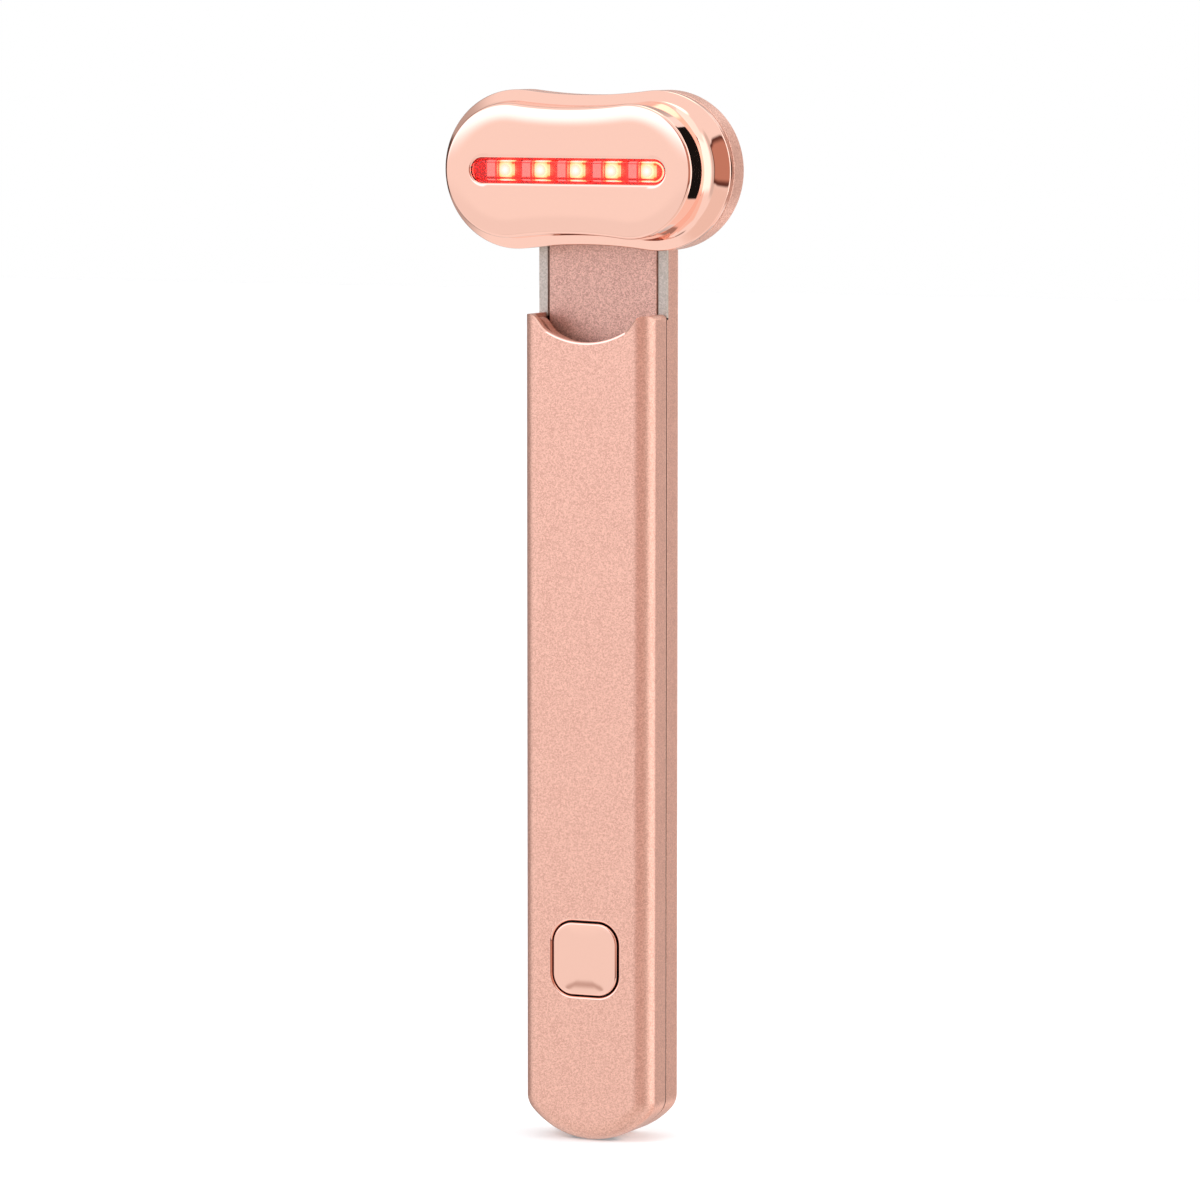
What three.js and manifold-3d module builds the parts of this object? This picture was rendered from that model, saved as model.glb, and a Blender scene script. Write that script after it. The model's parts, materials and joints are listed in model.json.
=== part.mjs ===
// LED light therapy wand: a slim handle whose neck carries a waisted head that swivels
// from the crosswise position to lie in line with the handle, its end nested in the scoop.
// Units are millimetres. +Z runs up the handle, -Y is the treatment side, +X is to the right.
import * as THREE from 'three';
import { mergeVertices } from 'three/addons/utils/BufferGeometryUtils.js';
import Module from 'manifold-3d';

const wasm = await Module();
wasm.setup();

// Driving dimensions
const clearance = 0.3;   // between neighbouring pieces
const overrun = 1;       // how far a cutter reaches past what it cuts

const handle = {
  width: 24,             // across the handle
  frontDepth: 7.5,       // front face to the seam
  backDepth: 6.5,        // seam to the back face
  pivotHeight: 167.4,    // bottom end to the swivel axis
  frontRound: 3.1,       // rounding of the long front edges
  backRound: 2.2,        // rounding of the back edges
  endRadius: 15,         // arc of the bottom end
  cornerRadius: 4,       // between that arc and the sides
  frontWall: 1.4,
  backSideWall: 1,
  backFloor: 1.4,
};

const scoop = {          // shaped to the end of the head that swings into it
  gap: 2.75,             // below the head's end, at the lowest point
  widening: 1.4,         // floor radius beyond that of the head's end
  floorTurn: 28,         // degrees either side of the lowest point
  riseRadius: 4,
  riseTurn: 52,          // steepest slope, in degrees
  riseRun: 1.3,          // straight run at that slope
  earRadius: 2.2,        // inner rounding of the ears
  earCorner: 1,          // outer rounding of the ears
  lipBevel: 0.35,
};

const liner = {          // inner wall that closes the handle under the scoop
  grooveEnd: 3.3,        // from the front face back to the raised rib
  ribEnd: 5.4,
  grooveDrop: 1.8,
  ribDrop: 0.6,
  foot: 3.4,             // underside, below the scoop line
};

const neck = {
  stripWidth: 1.58,      // visible silver strip each side
  plateThickness: 0.6,   // strips and panel
  panelGap: 0.35,
  baseThickness: 1.4,
  baseRail: 1.9,         // ledge that carries the edge of the panel
  tail: 8.6,             // lower end of the frame below the lowest point of the scoop
  tailBar: 5,            // height of the cross bar at that end
  yoke: 11,              // swivel axis down to the top of the frame's window
  shoulderOverlap: 0.6,  // strips end this far below the tops of the ears
};

const head = {
  standOff: 7.5,         // treatment face in front of the handle's front face
  rimEndRadius: 13.6,
  rimEndCentre: 13.05,   // centre of each round end from the middle
  rimWaist: 12.75,       // half height in the middle
  plateEndRadius: 11.1,
  plateEndCentre: 11.25,
  plateWaist: 10.35,
  edgeRound: 0.5,        // edge of the treatment face
  wallDepth: 3.9,        // steep wall below the face
  coveTurn: 57,          // slope of the shoulder, in degrees from the steep wall's direction
  seamDepth: 9.6,        // metal shell to back cover
  shellWall: 1.2,
  coverWall: 1.2,
  coverFloor: 1.4,
  coverRound: 1,
};
// How much of the way out from the plate to the rim each part of the side takes
const flareShares = { wall: 0.12, cove: 0.4, rimRound: 0.1 };

const coverLip = { thickness: 0.9, reach: 0.8, seat: 1.2 };

const slot = { halfLength: 18, halfHeight: 2.1, bevel: 0.35 };
const lens = { recess: 0.5, flange: 1.2, flangeThickness: 1.3 };

const ledBoard = { inset: 1.8, frontDepth: 5.6, thickness: 1.2, bossX: 14.6, bossZ: 6.4 };
const led = { count: 5, pitch: 6.6, size: 2.5, height: 0.9, lensRadius: 1, lensHeight: 0.4 };
const infraredLed = { offset: 2.9, width: 2.2, length: 2.6, height: 0.7 };
const ledConnector = { width: 6, length: 4, height: 1.8 };

const swivel = {
  shaftRadius: 3.7,
  boreRadius: 2.2,
  flangeRadius: 6.6,
  flangeThickness: 1.2,
  grooveRadius: 3.2,
  grooveWidth: 0.8,
  endCollar: 0.45,
  stakeRadius: 0.7,
  stakeCircle: 5.3,
  stakes: 3,
  bushFlange: 6.2,
  bushWall: 1.2,
  washerThickness: 0.2,
  washerWave: 0.06,
  washerWaves: 3,
  washerWidth: 1.5,
  ringWidth: 2,
  ringThickness: 0.4,
  ringGap: 3,
  wellWall: 1.1,
};

const screw = { headRadius: 1.5, headHeight: 0.7, shankRadius: 0.7, bossRadius: 1.9, recess: 0.2 };
const frameScrew = { upperSpread: 7, upperDrop: 7.6, lowerSpread: 5, length: 3 };
const boardScrew = { length: 3.2 };
const ledBoardScrew = { length: 3 };

const button = {
  width: 11.9,
  height: 12.5,
  corner: 3.6,
  centreHeight: 31.8,    // above the bottom end
  proud: 0.3,
  edge: 0.3,
  flange: 0.9,
  flangeThickness: 0.8,
  pusherRadius: 1.5,
  openingBevel: 0.4,
  travel: 0.5,
};
const tactSwitch = { size: 6, height: 1.7, plungerRadius: 1, plungerLength: 1.2 };

const board = {          // runs from the charging port up to the battery
  sideGap: 1,
  thickness: 1.2,
  frontDepth: 6,         // front face of the handle to the front of the board
  bottom: 9,
  topGap: 5,
  tabWidth: 10.4,
  tabBottom: 3.4,
  bossInset: 2.4,        // from the board's sides
  lowerBossRise: 5,      // from its lower end
  upperBossDrop: 7,      // from its upper end
};
const chips = {
  controller: { width: 7, length: 7, height: 1, x: -1.5 },
  charger: { width: 4, length: 4, height: 0.9, x: 3.2 },
  inductor: { width: 4.2, length: 4.2, height: 2, x: -3.6 },
};
const chipHeightShares = { controller: 0.64, charger: 0.17, inductor: 0.23 };
const boardConnector = { width: 4.4, length: 4, height: 2.4, inset: 0.8 };

const port = { width: 8.94, thickness: 3.2, wall: 0.35, mouth: 1.6, length: 7.3, tongueWidth: 6.6,
  tongueThickness: 0.7, tongueRecess: 0.6 };

const battery = { sideGap: 0.6, thickness: 6.2, length: 37, round: 1.6 };
const padThickness = 1;
const padLengthShare = 2 / 3;
const cradleRib = { width: 12, thickness: 1.2, height: 3.4 };
const lead = { radius: 0.5, spacing: 2.4, landing: 8.5 };

const motor = { radius: 3, length: 11, x: -3.2, boreRadius: 0.8, boreDepth: 3 };
const boot = { wall: 1, length: 7 };
const motorShaft = { radius: 0.5, reach: 5.6, seat: 2.5 };
const weight = { radius: 2.7, thickness: 3.4, start: 1, hub: 1.3 };
const saddle = { length: 5, wall: 1.2, neckGap: 2.2 };

const cable = { radius: 0.6, bend: 2, sideGap: 0.6 };
// Way from the middle of the neck to the cable's place beside the battery, lower at each row
const cableShares = [{ out: 0.2, back: 0.1, drop: 1.8 }, { out: 0.8, back: 0.8, drop: 2.6 }];
const cableSlackShare = 0.98;

// Places worked out from those sizes. Depths are measured back from the handle's front face.
const halfWidth = handle.width / 2;
const seam = handle.frontDepth;
const back = handle.frontDepth + handle.backDepth;
const floor = back - handle.backFloor;
const pivotZ = handle.pivotHeight;
const face = -head.standOff;
const coverBack = seam - clearance;
const coverInside = coverBack - head.coverFloor;
const panelBack = seam + neck.plateThickness;
const baseBack = panelBack + neck.baseThickness;
const boardBack = board.frontDepth + board.thickness;
const ledBoardFront = face + ledBoard.frontDepth;
const ledBoardBack = ledBoardFront + ledBoard.thickness;
const buttonZ = button.centreHeight;
const scoopFloor = pivotZ - head.rimEndCentre - head.rimEndRadius - scoop.gap;
const frameFoot = scoopFloor - neck.tail;
const batteryBack = floor - padThickness;
const bootRadius = motor.radius + clearance + boot.wall;
const saddleRadius = bootRadius + clearance;
const motorZ = frameFoot - saddle.neckGap - saddle.wall - saddleRadius;
const motorDepth = floor - saddleRadius;
const batteryTop = motorZ - saddleRadius - clearance - cradleRib.thickness - clearance;
const batteryFoot = batteryTop - battery.length;
const boardTop = batteryFoot - board.topGap;
const boardHalf = halfWidth - handle.frontWall - board.sideGap;
const cableSide = halfWidth - handle.backSideWall - cable.sideGap - cable.radius;
const batteryHalf = cableSide - cable.radius - battery.sideGap;
const connectorX = boardHalf - boardConnector.inset - boardConnector.width / 2;

const colours = {
  rosePaint: { color: 0xe3a893, roughness: 0.42, metalness: 0.6 },
  roseChrome: { color: 0xf2b9a2, roughness: 0.08, metalness: 1 },
  silver: { color: 0xc3bcb6, roughness: 0.45, metalness: 0.9 },
  redLens: { color: 0xd8142a, roughness: 0.1, metalness: 0, transparent: true, opacity: 0.55 },
  glow: { color: 0xfff0b0, roughness: 0.4, metalness: 0, emissive: 0xff8a30 },
  palePink: { color: 0xf3c0bd, roughness: 0.5, metalness: 0 },
  circuit: { color: 0x1c5a3a, roughness: 0.5, metalness: 0 },
  black: { color: 0x1a1a1c, roughness: 0.5, metalness: 0 },
  white: { color: 0xe9e7e2, roughness: 0.6, metalness: 0 },
  steel: { color: 0xb9bcc0, roughness: 0.3, metalness: 1 },
  foil: { color: 0x9aa2ab, roughness: 0.4, metalness: 0.7 },
  brass: { color: 0xc7a455, roughness: 0.35, metalness: 1 },
  foam: { color: 0x4b4b4e, roughness: 0.95, metalness: 0 },
  red: { color: 0xb3202a, roughness: 0.6, metalness: 0 },
};

// Outlines, as [x, z] points running anticlockwise seen from the front
const radians = THREE.MathUtils.degToRad;
const mix = THREE.MathUtils.lerp;

function arc(x, z, radius, from, to, steps) {
  const points = [];
  for (let i = 0; i <= steps; i += 1) {
    const angle = radians(mix(from, to, i / steps));
    points.push([x + radius * Math.cos(angle), z + radius * Math.sin(angle)]);
  }
  return points;
}

function circle(x, z, radius, steps = 20) {
  return arc(x, z, radius, 0, 360, steps).slice(0, -1);
}

function rectangle(left, right, bottom, top) {
  return [[left, bottom], [right, bottom], [right, top], [left, top]];
}

function roundedRectangle(x, z, width, height, radius, steps = 5) {
  const dx = width / 2 - radius;
  const dz = height / 2 - radius;
  return [
    ...arc(x + dx, z - dz, radius, -90, 0, steps),
    ...arc(x + dx, z + dz, radius, 0, 90, steps),
    ...arc(x - dx, z + dz, radius, 90, 180, steps),
    ...arc(x - dx, z - dz, radius, 180, 270, steps),
  ];
}

function stadium(x, z, halfLength, halfHeight, steps = 12) {
  const reach = halfLength - halfHeight;
  return [
    ...arc(x + reach, z, halfHeight, -90, 90, steps),
    ...arc(x - reach, z, halfHeight, 90, 270, steps),
  ];
}

// Two round ends joined above and below by shallow hollow arcs, drawn in evenly by inset
function waisted(endCentre, endRadius, waist, inset = 0) {
  const hollow = (endCentre ** 2 + waist ** 2 - endRadius ** 2) / (2 * (endRadius - waist));
  const hollowZ = waist + hollow;
  const turn = THREE.MathUtils.radToDeg(Math.atan2(hollowZ, -endCentre));
  const ends = endRadius - inset;
  const middle = hollow + inset;
  return [
    ...arc(endCentre, pivotZ, ends, -turn, turn, 18),
    ...arc(0, pivotZ + hollowZ, middle, turn - 180, -turn, 6).slice(1, -1),
    ...arc(-endCentre, pivotZ, ends, 180 - turn, 180 + turn, 18),
    ...arc(0, pivotZ - hollowZ, middle, turn, 180 - turn, 6).slice(1, -1),
  ];
}

// Bottom end of the handle: side, corner, end arc, corner, side
function handleEnd(inset) {
  const cornerX = halfWidth - handle.cornerRadius;
  const spread = handle.endRadius - handle.cornerRadius;
  const cornerZ = handle.endRadius - Math.sqrt(spread ** 2 - cornerX ** 2);
  const turn = THREE.MathUtils.radToDeg(Math.asin(cornerX / spread));
  const corner = handle.cornerRadius - inset;
  return [
    ...arc(-cornerX, cornerZ, corner, 180, 270 - turn, 3),
    ...arc(0, handle.endRadius, handle.endRadius - inset, 270 - turn, 270 + turn, 10).slice(1, -1),
    ...arc(cornerX, cornerZ, corner, 270 + turn, 360, 3),
  ];
}

function handleOutline(inset, top) {
  return [...handleEnd(inset), [halfWidth - inset, top], [inset - halfWidth, top]];
}

function wandOutline(inset) {
  return [...handleEnd(inset), ...arc(0, pivotZ, halfWidth - inset, 0, 180, 20)];
}

// A tongue shape: round about the swivel axis, straight sides down to the given drop
function tongue(reach, drop) {
  return [[-reach, pivotZ - drop], [reach, pivotZ - drop], ...arc(0, pivotZ, reach, 0, 180, 20)];
}

// Right half of the scoop line, from its lowest point up to the top of the ear
function scoopHalf() {
  const floorRadius = head.rimEndRadius + scoop.widening;
  const floorArc = arc(0, scoopFloor + floorRadius, floorRadius, 270, 270 + scoop.floorTurn, 7);
  const [floorX, floorZ] = floorArc.at(-1);
  const tilt = radians(scoop.floorTurn);
  const riseX = floorX - scoop.riseRadius * Math.sin(tilt);
  const riseZ = floorZ + scoop.riseRadius * Math.cos(tilt);
  const riseEnd = 270 + scoop.riseTurn;
  const riseArc = arc(riseX, riseZ, scoop.riseRadius, 270 + scoop.floorTurn, riseEnd, 4);
  const slope = radians(scoop.riseTurn);
  const startX = riseArc.at(-1)[0] + scoop.riseRun * Math.cos(slope);
  const startZ = riseArc.at(-1)[1] + scoop.riseRun * Math.sin(slope);
  const earX = startX + scoop.earRadius * Math.sin(slope);
  const earZ = startZ - scoop.earRadius * Math.cos(slope);
  const earArc = arc(earX, earZ, scoop.earRadius, 90 + scoop.riseTurn, 90, 5);
  return [...floorArc, ...riseArc.slice(1), ...earArc];
}

const earTop = scoopHalf().at(-1)[1];
const shoulderZ = earTop - neck.shoulderOverlap;

function scoopLine(drop = 0) {
  const right = scoopHalf().map(([x, z]) => [x, z - drop]);
  const left = right.slice(1).reverse().map(([x, z]) => [-x, z]);
  return [...left, ...right];
}

// Solids
function solidFrom(geometry) {
  const bare = new THREE.BufferGeometry();
  bare.setAttribute('position', geometry.getAttribute('position'));
  if (geometry.index) bare.setIndex(geometry.index);
  const merged = mergeVertices(bare, 1e-5);
  const vertProperties = new Float32Array(merged.attributes.position.array);
  const triVerts = new Uint32Array(merged.index.array);
  return new wasm.Manifold(new wasm.Mesh({ numProp: 3, vertProperties, triVerts }));
}

function geometryFrom(solid) {
  const mesh = solid.getMesh();
  const geometry = new THREE.BufferGeometry();
  geometry.setAttribute('position', new THREE.BufferAttribute(mesh.vertProperties, 3));
  geometry.setIndex(new THREE.BufferAttribute(mesh.triVerts, 1));
  geometry.computeVertexNormals();
  return geometry;
}

function isInsideOut(points, indices) {
  let volume = 0;
  for (let i = 0; i < indices.length; i += 3) {
    const [a, b, c] = [0, 1, 2].map((k) => new THREE.Vector3(...points[indices[i + k]]));
    volume += a.dot(b.cross(c));
  }
  return volume < 0;
}

// Skins a row of [depth, outline] stations, all with the same number of points
function loft(stations) {
  const count = stations[0][1].length;
  const points = stations.flatMap(([y, outline]) => outline.map(([x, z]) => [x, y, z]));
  const indices = [];
  for (let row = 0; row < stations.length - 1; row += 1) {
    for (let i = 0; i < count; i += 1) {
      const a = row * count + i;
      const b = row * count + ((i + 1) % count);
      indices.push(a, b, b + count, a, b + count, a + count);
    }
  }
  const last = (stations.length - 1) * count;
  const flat = (outline) => outline.map(([x, z]) => new THREE.Vector2(x, z));
  for (const [a, b, c] of THREE.ShapeUtils.triangulateShape(flat(stations[0][1]), [])) {
    indices.push(a, c, b);
  }
  for (const [a, b, c] of THREE.ShapeUtils.triangulateShape(flat(stations.at(-1)[1]), [])) {
    indices.push(last + a, last + b, last + c);
  }
  if (isInsideOut(points, indices)) indices.reverse();
  const geometry = new THREE.BufferGeometry();
  geometry.setAttribute('position', new THREE.Float32BufferAttribute(points.flat(), 3));
  geometry.setIndex(indices);
  return solidFrom(geometry);
}

function plate(outline, front, rear) {
  return loft([[front, outline], [rear, outline]]);
}

function peg(x, z, radius, front, rear, steps = 20) {
  return plate(circle(x, z, radius, steps), front, rear);
}

function block(width, depth, height, x, y, z) {
  const geometry = new THREE.BoxGeometry(width, depth, height);
  return solidFrom(geometry.translate(x, y, z));
}

// A closed [radius, depth] profile turned about an axis that runs front to back
function turned(profile, x, z, steps = 24) {
  const points = [...profile, profile[0]].map(([radius, y]) => new THREE.Vector2(radius, y));
  return solidFrom(new THREE.LatheGeometry(points, steps).translate(x, 0, z));
}

function rod(radius, left, right, y, z, steps = 20) {
  const geometry = new THREE.CylinderGeometry(radius, radius, right - left, steps);
  geometry.rotateZ(Math.PI / 2);
  return solidFrom(geometry.translate((left + right) / 2, y, z));
}

// A quarter-round edge: [depth, inset] steps from the face round to the side
function edgeSteps(radius, steps) {
  const rows = [];
  for (let i = 0; i <= steps; i += 1) {
    const angle = (Math.PI / 2) * (i / steps);
    rows.push([radius * (1 - Math.cos(angle)), radius * (1 - Math.sin(angle))]);
  }
  return rows;
}

function screwSolid(x, z, headFront, length, direction = 1) {
  const seat = headFront + direction * screw.headHeight;
  const tip = seat + direction * length;
  const profile = [[0, headFront], [screw.headRadius, headFront], [screw.headRadius, seat],
    [screw.shankRadius, seat], [screw.shankRadius, tip], [0, tip]];
  const points = profile.map(([radius, y]) => new THREE.Vector2(radius, y));
  if (direction > 0) points.reverse();
  const geometry = new THREE.LatheGeometry(points, 12).translate(x, 0, z);
  const { index } = geometry;
  const corners = Array.from(geometry.attributes.position.array);
  const triples = [];
  for (let i = 0; i < corners.length; i += 3) triples.push(corners.slice(i, i + 3));
  if (isInsideOut(triples, Array.from(index.array))) index.array.reverse();
  return solidFrom(geometry);
}

// Handle shells
function frontShell() {
  const rear = seam - clearance / 2;
  const top = earTop + overrun;
  const outer = edgeSteps(handle.frontRound, 5).map(([y, inset]) => [y, handleOutline(inset, top)]);
  let shell = loft([...outer, [rear, handleOutline(0, top)]]);

  const innerRound = handle.frontRound - handle.frontWall;
  const inner = edgeSteps(innerRound, 3).map(([y, inset]) => [
    handle.frontWall + y, handleOutline(handle.frontWall + inset, top + overrun)]);
  const cavity = loft([...inner, [seam + overrun, handleOutline(handle.frontWall, top + overrun)]]);
  shell = shell.subtract(cavity);

  for (const [x, z] of boardBossPlaces()) {
    shell = shell.add(peg(x, z, screw.bossRadius, handle.frontWall / 2, board.frontDepth));
    const bore = screw.shankRadius + clearance;
    shell = shell.subtract(peg(x, z, bore, handle.frontWall, board.frontDepth + overrun, 12));
  }
  return shell.subtract(scoopCutter()).subtract(buttonCutter()).subtract(portCutter());
}

function boardBossPlaces() {
  const x = boardHalf - board.bossInset;
  const lower = board.bottom + board.lowerBossRise;
  const upper = boardTop - board.upperBossDrop;
  return [[-x, lower], [x, lower], [-x, upper], [x, upper]];
}

// Everything above the scoop line, with a small bevel on its front edge and rounded ears
function scoopCutter() {
  const high = earTop + 2 * overrun;
  const side = halfWidth + overrun;
  const corner = arc(halfWidth - scoop.earCorner, earTop - scoop.earCorner, scoop.earCorner, 90, 0, 4);
  const ear = [...corner, [side, corner.at(-1)[1]]];
  const mirrored = ear.slice().reverse().map(([x, z]) => [-x, z]);
  const line = (drop) => [
    ...[...mirrored, ...scoopLine(), ...ear].map(([x, z]) => [x, z - drop]),
    [side, high], [-side, high]];
  const through = plate(line(0), -overrun, seam + overrun);
  const slope = scoop.lipBevel + overrun;
  return through.add(loft([[-overrun, line(slope)], [scoop.lipBevel, line(0)]]));
}

function buttonOpening(grow) {
  const width = button.width + 2 * grow;
  const height = button.height + 2 * grow;
  return roundedRectangle(0, buttonZ, width, height, button.corner + grow);
}

function buttonCutter() {
  const { openingBevel } = button;
  const through = plate(buttonOpening(clearance), -overrun, handle.frontWall + overrun);
  const widened = buttonOpening(clearance + openingBevel + overrun);
  return through.add(loft([[-overrun, widened], [openingBevel, buttonOpening(clearance)]]));
}

const portDepth = board.frontDepth - port.thickness / 2;

// The charging port's outline lies in the plane across the handle and runs up it
function portPrism(grow, from, to) {
  const halfLength = port.width / 2 + grow;
  const halfHeight = port.thickness / 2 + grow;
  const shape = new THREE.Shape(stadium(0, 0, halfLength, halfHeight, 8)
    .map(([x, y]) => new THREE.Vector2(x, y)));
  const geometry = new THREE.ExtrudeGeometry(shape, { depth: to - from, bevelEnabled: false });
  return solidFrom(geometry.translate(0, portDepth, from));
}

function portCutter() {
  return portPrism(clearance, -overrun, port.mouth + 2 * handle.frontWall);
}

function scoopLiner() {
  const band = (top, bottom, front, rear) => {
    const upper = scoopLine(top).reverse();
    return plate([...scoopLine(bottom), ...upper], front, rear);
  };
  const foot = band(liner.grooveDrop, liner.foot, handle.frontWall, liner.grooveEnd + overrun);
  const rib = band(liner.ribDrop, liner.foot, liner.grooveEnd, liner.ribEnd);
  const inset = handle.frontWall + clearance;
  const innerRound = handle.frontRound - handle.frontWall;
  const rows = edgeSteps(innerRound, 3).map(([y, extra]) => [
    handle.frontWall + y, handleOutline(inset + extra, earTop)]);
  const room = loft([...rows, [seam, handleOutline(inset, earTop)]]);
  const trim = plate(rectangle(-halfWidth, halfWidth, frameFoot, earTop), 0, liner.ribEnd);
  return foot.add(rib).intersect(room).intersect(trim);
}

function backShell() {
  const edge = edgeSteps(handle.backRound, 4).reverse();
  const outer = edge.map(([y, inset]) => [back - y, wandOutline(inset)]);
  let shell = loft([[seam + clearance / 2, wandOutline(0)], ...outer]);

  const innerRound = handle.backRound - handle.backSideWall;
  const inner = edgeSteps(innerRound, 3).reverse().map(([y, inset]) => [
    floor - y, wandOutline(handle.backSideWall + inset)]);
  shell = shell.subtract(loft([[seam - overrun, wandOutline(handle.backSideWall)], ...inner]));

  const rebate = rectangle(-halfWidth - overrun, halfWidth + overrun,
    shoulderZ - clearance, pivotZ + halfWidth + overrun);
  shell = shell.subtract(plate(rebate, seam - overrun, panelBack));
  return shell.add(pivotWell()).add(frameBosses()).add(cradle()).subtract(frameBores());
}

const rooted = handle.backFloor / 2;   // how far a rib or boss reaches into the floor
const bushRadius = swivel.shaftRadius + clearance + swivel.bushWall;
const wellRadius = bushRadius + clearance + swivel.ringWidth;

function pivotWell() {
  const outside = peg(0, pivotZ, wellRadius + swivel.wellWall, baseBack, floor + rooted, 32);
  const inside = peg(0, pivotZ, wellRadius, baseBack - overrun, floor, 32);
  const notchSize = 2 * (cable.radius + clearance) + overrun;
  const notch = block(notchSize, back, wellRadius * 2, 0, floor - back / 2, pivotZ - wellRadius);
  return outside.subtract(inside).subtract(notch);
}

function frameScrewPlaces() {
  const { upperSpread, lowerSpread } = frameScrew;
  const upper = pivotZ - frameScrew.upperDrop;
  const lower = frameFoot + neck.tailBar / 2;
  return [[-upperSpread, upper], [upperSpread, upper], [-lowerSpread, lower], [lowerSpread, lower]];
}

function frameBosses() {
  const bosses = frameScrewPlaces().map(([x, z]) =>
    peg(x, z, screw.bossRadius, baseBack, floor + rooted));
  return wasm.Manifold.union(bosses);
}

function frameBores() {
  const radius = screw.shankRadius + clearance;
  const bores = frameScrewPlaces().map(([x, z]) => peg(x, z, radius, baseBack - overrun, floor, 12));
  return wasm.Manifold.union(bores);
}

// Ribs at both ends of the battery and a saddle for the motor's rubber boot
function cradle() {
  const depth = cradleRib.height + rooted;
  const y = floor - cradleRib.height + depth / 2;
  const offset = clearance + cradleRib.thickness / 2;
  const lower = block(cradleRib.width, depth, cradleRib.thickness, 0, y, batteryFoot - offset);
  const upper = block(cradleRib.width, depth, cradleRib.thickness, 0, y, batteryTop + offset);
  const saddleDepth = saddleRadius + rooted;
  const saddleY = motorDepth + saddleDepth / 2;
  const saddleHeight = 2 * (saddleRadius + saddle.wall);
  const seat = block(saddle.length, saddleDepth, saddleHeight, motor.x, saddleY, motorZ);
  const reach = saddle.length / 2 + overrun;
  const hollow = rod(saddleRadius, motor.x - reach, motor.x + reach, motorDepth, motorZ, 24);
  return lower.add(upper).add(seat.subtract(hollow));
}

// Neck
const stripInside = halfWidth - neck.stripWidth;
const baseReach = halfWidth - handle.backSideWall - clearance;
const bushHole = bushRadius + clearance;

function neckFrame() {
  const stripDrop = pivotZ - shoulderZ;
  const strips = plate(tongue(halfWidth, stripDrop), seam, panelBack)
    .subtract(plate(tongue(stripInside, stripDrop + overrun), seam - overrun, panelBack + overrun));
  const tailReach = Math.min(baseReach, stripInside - clearance);
  const upper = plate(tongue(baseReach, stripDrop), panelBack, baseBack);
  const tail = plate(rectangle(-tailReach, tailReach, frameFoot, pivotZ), panelBack, baseBack);
  const windowReach = stripInside - neck.baseRail;
  const windowFloor = frameFoot + neck.tailBar;
  const window = rectangle(-windowReach, windowReach, windowFloor, pivotZ - neck.yoke);
  let frame = strips.add(upper).add(tail);
  frame = frame.subtract(plate(window, panelBack - overrun, baseBack + overrun));
  frame = frame.subtract(peg(0, pivotZ, bushHole, panelBack - overrun, baseBack + overrun, 32));
  for (const [x, z] of frameScrewPlaces()) {
    const seat = panelBack + screw.recess + screw.headHeight;
    frame = frame.subtract(peg(x, z, screw.headRadius + clearance, seam, seat));
    frame = frame.subtract(peg(x, z, screw.shankRadius + clearance, seam, baseBack + overrun, 12));
  }
  return frame;
}

function neckPanel() {
  const reach = stripInside - neck.panelGap;
  const outline = tongue(reach, pivotZ - frameFoot - neck.panelGap);
  const hole = peg(0, pivotZ, swivel.bushFlange + clearance, seam - overrun, panelBack + overrun, 32);
  return plate(outline, seam, panelBack).subtract(hole);
}

// Swivel
const ringFront = baseBack + swivel.washerThickness + 2 * swivel.washerWave + clearance / 2;
const grooveFront = ringFront - (swivel.grooveWidth - swivel.ringThickness) / 2;
const shaftEnd = grooveFront + swivel.grooveWidth + swivel.endCollar;
const flangeFront = coverInside - swivel.flangeThickness;

function stakePlaces() {
  const turn = 360 / swivel.stakes;
  const ring = arc(0, pivotZ, swivel.stakeCircle, 90, 90 + turn * swivel.stakes, swivel.stakes);
  return ring.slice(0, -1);
}

function pivotShaft() {
  const { shaftRadius, boreRadius, flangeRadius, grooveRadius, grooveWidth } = swivel;
  let shaft = turned([
    [boreRadius, flangeFront], [flangeRadius, flangeFront], [flangeRadius, coverInside],
    [shaftRadius, coverInside], [shaftRadius, grooveFront], [grooveRadius, grooveFront],
    [grooveRadius, grooveFront + grooveWidth], [shaftRadius, grooveFront + grooveWidth],
    [shaftRadius, shaftEnd], [boreRadius, shaftEnd],
  ], 0, pivotZ);
  for (const [x, z] of stakePlaces()) {
    const hole = peg(x, z, swivel.stakeRadius + clearance,
      flangeFront - overrun, coverInside + overrun, 12);
    shaft = shaft.subtract(hole);
  }
  return shaft;
}

function pivotBush() {
  const bore = swivel.shaftRadius + clearance;
  return turned([
    [bore, seam], [swivel.bushFlange, seam], [swivel.bushFlange, panelBack],
    [bushRadius, panelBack], [bushRadius, baseBack], [bore, baseBack],
  ], 0, pivotZ);
}

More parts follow.
